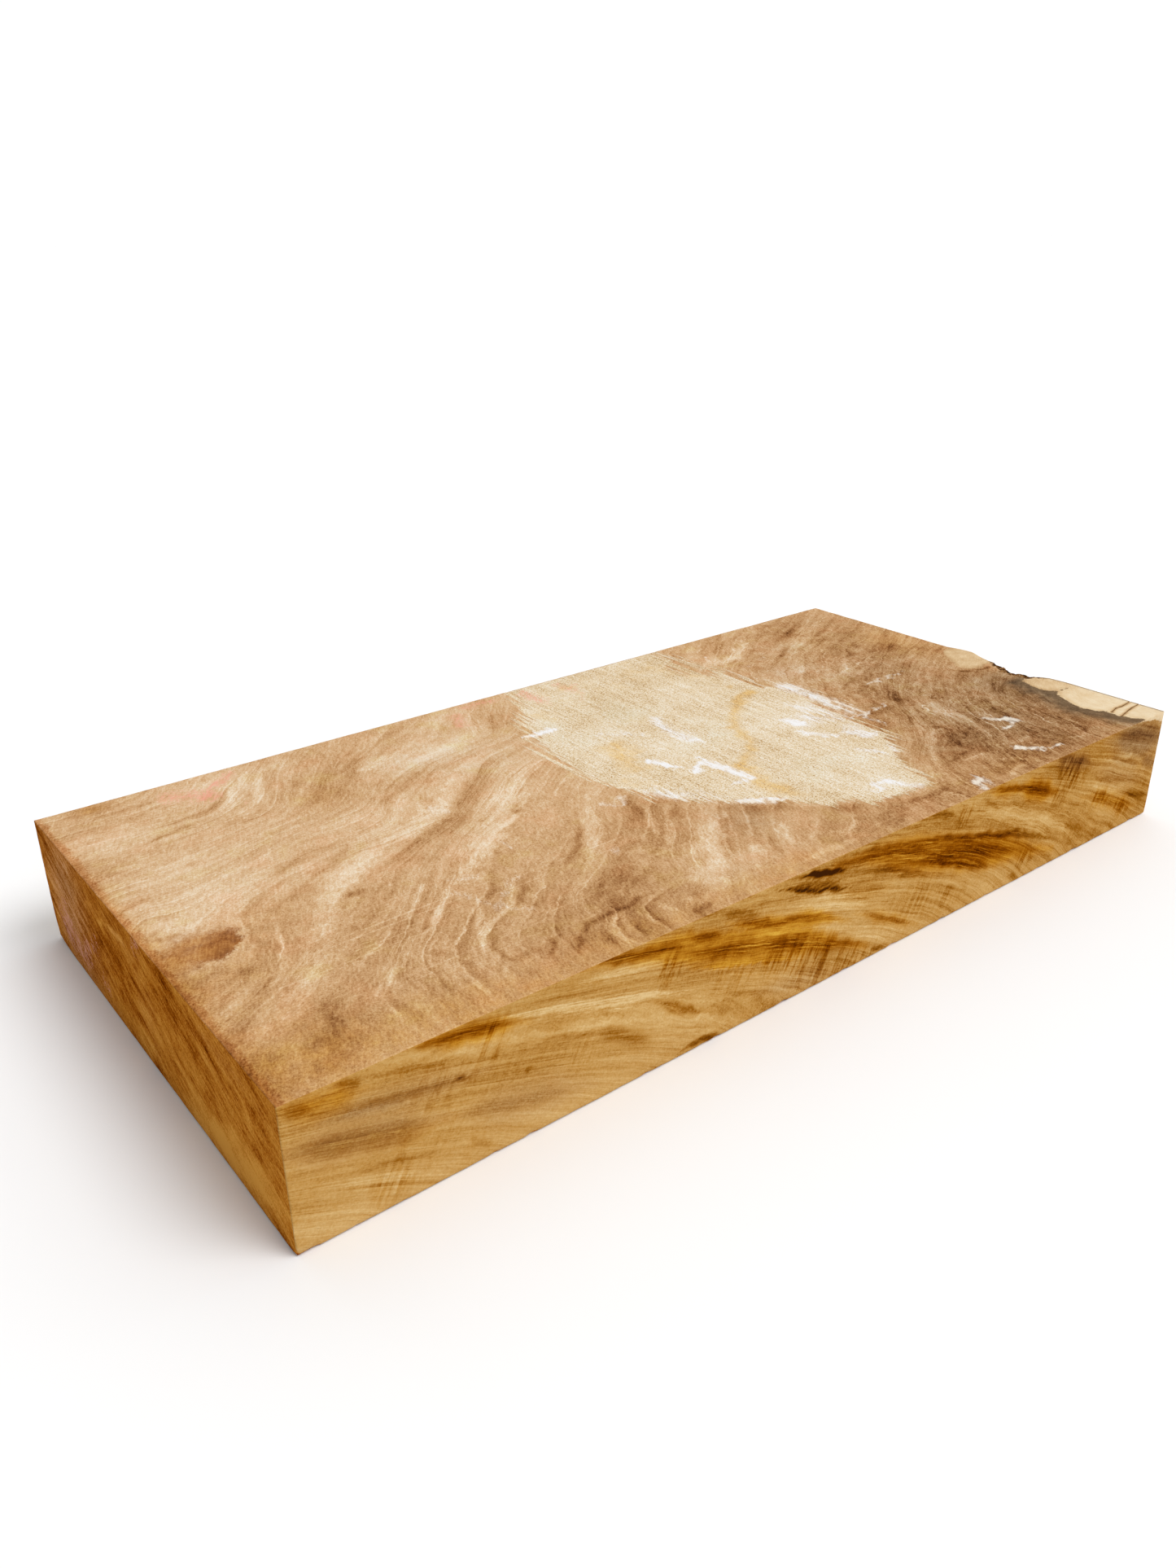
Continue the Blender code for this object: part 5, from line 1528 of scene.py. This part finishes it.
def add_blotch(s, wood):
    """A round stain beside the left end, darker towards its rim on one side."""
    rim = s.field("blotch_rim")
    distance = s.total(s.field("blotch"), (s.mottle, 0.7), (s.tufts, 0.35), (s.grit, 0.25))
    softness = s.math("MULTIPLY_ADD", rim, -0.28, 0.38)
    inside = s.rise(distance, s.math("ADD", softness, 0.98), s.math("SUBTRACT", 0.98, softness))
    rim_shade = s.product(s.rise(distance, 0.30, 0.90), rim)
    tone = s.total(0.58, (rim_shade, -0.24), (s.grit, 0.9), (s.mottle, 1.7), (s.fibres, 1.0))
    share = s.product(inside, s.math("MULTIPLY_ADD", rim, 0.16, 0.74))
    return s.mix(share, wood, s.ramp(tone, BLOTCH_COLOURS))


def add_sapwood(s, wood):
    """Pale sapwood at the right end, and the dark rim along it."""
    distance = s.total(s.field("sap"), (s.sway(s.noise(s.place, *SAP_EDGE)), 6.0))
    rim = s.product(s.rise(s.total(distance, (s.mottle, 18.0)), 23.0, 4.0), s.field("rim"), 0.88)
    rim_tone = s.total(0.5, (s.grit, 0.8), (s.mottle, 1.3), (s.middle, 0.6))
    wood = s.mix(rim, wood, s.ramp(rim_tone, RIM_COLOURS))
    # The sapwood's tone, which holds the painted shade of the drying checks
    tone = s.total(s.field("sap_and_check_shade_tone"), (s.fine, 0.5), (s.mottle, 0.7), (s.grit, 0.4),
                   (s.rise(distance, -5.0, 0.0), -0.22))
    return s.mix(s.rise(distance, 0.6, -0.6), wood, s.ramp(tone, SAP_COLOURS))


def add_sawn_patch(s, wood):
    """The patch that is still as sawn: its ragged edge, its saw lines and its weathered colours."""
    saw_streak, saw_broad, s.saw_line = (
        s.sway(stretched(s, *kind)) for kind in (SAW_STREAK, SAW_BROAD, SAW_LINE))
    ragged = s.total((saw_streak, 34.0), (saw_broad, 16.0), (s.fibres, 5.0))
    s.sawn = s.rise(s.total(s.field("sawn"), s.product(ragged, s.field("ragged"))), 1.6, -1.6)
    weathered = s.sway(s.noise(s.place, *WEATHERED))
    tone = s.total(0.58, (s.saw_line, 1.05), (s.grit, 2.9), (weathered, 0.75), (s.fibres, 0.40),
                   (saw_streak, 0.45), s.field("sawn_tone"))
    ochre = s.field("sawn_amber")
    specks = s.rise(s.total(s.math("ADD", s.grit, 0.5), (s.saw_line, 0.7), (ochre, 0.06)), 0.48, 0.64)
    amber = s.rise(s.total(ochre, (s.mottle, 1.6), (weathered, 0.8), (s.saw_line, 0.8)), 0.15, 1.3)
    dots = s.rise(s.total(s.noise(s.place, *DOTS), (amber, 0.12)), 0.71, 0.76)
    green = s.rise(s.total(s.field("sawn_green"), (weathered, 1.2), (s.mottle, 0.5)), 0.05, 0.9)
    patch = s.ramp(tone, SAWN_COLOURS)
    for share, tint in (
        (s.product(amber, s.total(0.22, (specks, 0.78))), SAWN_AMBER_TINT),
        (s.product(dots, 0.65), SAWN_SPECK_TINT), (green, SAWN_GREEN_TINT),
    ):
        patch = s.tinted(patch, share, tint)
    return s.mix(s.sawn, wood, patch)


def add_arris_shade_and_bark(s, wood):
    """A brown line of painted shade along the right end's arris on the top, and the loose bark in the pocket,
    which grows darker the further down it lies.
    """
    # Painted shade: a brown line along the right end's arris on the top, below y = -60
    painted_arris_shade = s.rise(s.total(s.field("from_end"), (s.tufts, 2.0), (s.grit, 1.4)), 2.9, 1.3)
    wood = s.mix(s.product(painted_arris_shade, 0.55), wood, ARRIS_SHADE_COLOUR)
    s.crumbs = s.sway(s.noise(s.place, *CRUMBS))
    s.bark = s.rise(s.total(s.field("bark"), (s.crumbs, 1.6)), 0.35, 0.6)
    spot = s.vector(s.product(s.y, 0.60), s.product(s.z, 0.11), s.product(s.x, 0.30))
    flakes = s.sway(s.noise(spot, 1.0, 3.0, 0.6))
    # The bark's tone grows darker the further down the pocket it lies
    tone = s.total(0.60, (flakes, 1.8), (s.sway(s.noise(s.place, *BARK_GRIT)), 1.6), (s.crumbs, 1.2),
                   (s.rise(s.z, THICKNESS - 2.0, THICKNESS - 20.0), -0.24))
    return s.mix(s.bark, wood, s.ramp(tone, BARK_COLOURS))


def add_marks(s, wood):
    """Chalk, wax crayon and rubbed-on wax, all of which sit on the high fibres."""
    field = s.field("chalk")
    rubbed = s.product(s.total(0.2, (s.sawn, 0.8)), s.sway(stretched(s, *RUBBED)))
    dusty = s.total(field, (s.tufts, 0.7), (s.fibres, 0.7), (s.grit, 0.8), (rubbed, 2.2))
    s.chalk = s.product(s.rise(dusty, 0.20, 1.25), s.rise(field, 0.02, 0.30), 0.88)
    wood = s.mix(s.chalk, wood, s.mix(s.sawn, DUSTY_COLOUR, CHALK_COLOUR))
    field = s.field("crayon")
    waxy = s.total(field, (s.tufts, 1.6), (s.fibres, 1.2), (s.grit, 1.0))
    s.crayon = s.product(s.rise(waxy, 0.10, 1.10), s.rise(field, 0.01, 0.12), 0.78)
    wood = s.mix(s.crayon, wood, CRAYON_COLOUR)
    field = s.field("wax")
    lumpy = s.total(field, (s.mottle, 3.0), (s.tufts, 2.4), (s.fibres, 3.4), (s.grit, 2.0))
    wax = s.product(s.rise(lumpy, 0.45, 0.95), 0.86, s.rise(field, 0.02, 0.2))
    return s.mix(wax, wood, WAX_COLOUR)


def garapa_material():
    s = Shader("garapa")
    lay_grain(s)
    wood = figured_wood(s)
    for add in (add_blotch, add_sapwood, add_sawn_patch, add_arris_shade_and_bark, add_marks):
        wood = add(s, wood)
    rough = s.total(0.66, (s.middle, -0.25), (s.sawn, 0.14), (s.chalk, 0.15), (s.crayon, -0.18))

    def raised(noise, share):
        return s.product(s.math("ADD", noise, 0.5), share)

    height = s.total(
        (s.fine, 0.22), (s.hair, 0.18), (s.middle, 0.15), (s.pores, -3.0), (s.grit, 0.20), (s.ripple, -0.15),
        (raised(s.fibres, s.faded), 0.45), (raised(s.saw_line, s.sawn), 0.9), (raised(s.crumbs, s.bark), 3.0),
        (raised(s.grit, s.end_grain), 0.6), (raised(s.grit, s.chalk), 0.3),
    )
    bump = s.node("ShaderNodeBump", Height=height, Strength=BUMP_STRENGTH, Distance=BUMP_HEIGHT)
    s.put(s.surface.inputs["Base Color"], wood)
    s.put(s.surface.inputs["Roughness"], rough)
    s.put(s.surface.inputs["Normal"], bump.outputs[0])
    s.surface.inputs["Specular IOR Level"].default_value = 0.0
    return s.material


def dress_slab():
    slab = build_slab()
    mesh = slab.data
    own_points = len(mesh.vertices)
    add_crumbs(mesh)
    paint_slab(mesh, own_points)
    unwrap(mesh)
    offset = Vector((MIDDLE_X, 0.0, 0.0))
    mesh.transform(Matrix.Scale(MM, 4) @ Matrix.Translation(offset))
    mesh.materials.clear()
    mesh.materials.append(garapa_material())
    mesh.shade_smooth()
    mesh.set_sharp_from_angle(angle=math.radians(SHARP_ANGLE))
    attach(slab, "root")
    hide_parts(NODE)


def build_floor():
    mesh = bpy.data.meshes.new("floor")
    body = bmesh.new()
    bmesh.ops.create_circle(body, cap_ends=True, segments=96, radius=FLOOR_RADIUS)
    body.to_mesh(mesh)
    body.free()
    floor = bpy.data.objects.new("floor", mesh)
    bpy.context.scene.collection.objects.link(floor)
    floor.location.z = -FLOOR_DROP
    s = Shader("pale_floor")
    s.surface.inputs["Base Color"].default_value = (*FLOOR_COLOUR, 1.0)
    s.surface.inputs["Roughness"].default_value = 0.9
    s.surface.inputs["Specular IOR Level"].default_value = 0.1
    mesh.materials.append(s.material)


def light_the_studio():
    """Lights the slab by pale walls all round, dimmer beyond its left end, and by one large soft lamp."""
    world = bpy.data.worlds.new("studio")
    bpy.context.scene.world = world
    world.use_nodes = True
    nodes, links = world.node_tree.nodes, world.node_tree.links
    heading = nodes.new("ShaderNodeTexCoord")
    split = nodes.new("ShaderNodeSeparateXYZ")
    links.new(heading.outputs["Generated"], split.inputs[0])
    rising = nodes.new("ShaderNodeMapRange")
    rising.interpolation_type = "SMOOTHSTEP"
    links.new(split.outputs["X"], rising.inputs["Value"])
    for name, value in zip(("From Min", "From Max", "To Min", "To Max"), WALL_RISE + WALL_BRIGHTNESS):
        rising.inputs[name].default_value = value
    links.new(rising.outputs["Result"], nodes["Background"].inputs["Strength"])
    nodes["Background"].inputs["Color"].default_value = (1.0, 1.0, 1.0, 1.0)

    lamp = bpy.data.lights.new("soft_lamp", "SUN")
    lamp.energy = SUN_STRENGTH
    lamp.angle = math.radians(SUN_ANGLE)
    holder = bpy.data.objects.new("soft_lamp", lamp)
    bpy.context.scene.collection.objects.link(holder)
    holder.rotation_euler = Vector(SUN_FROM).to_track_quat("Z", "Y").to_euler()
    bpy.context.scene.view_settings.view_transform = "Standard"


def add_camera():
    camera = bpy.data.cameras.new("camera")
    camera.sensor_fit = "AUTO"
    camera.sensor_width = SENSOR
    camera.lens = CAMERA_FOCUS / PHOTO_HEIGHT * SENSOR
    camera.clip_start = 0.01
    holder = bpy.data.objects.new("camera", camera)
    bpy.context.scene.collection.objects.link(holder)
    right, down, forward = (Vector(row) for row in CAMERA_ROWS)
    turn = Matrix((right, -down, -forward)).transposed()
    holder.matrix_world = Matrix.Translation(CAMERA_PLACE) @ turn.to_4x4()
    bpy.context.scene.camera = holder


add_camera()
dress_slab()
build_floor()
light_the_studio()
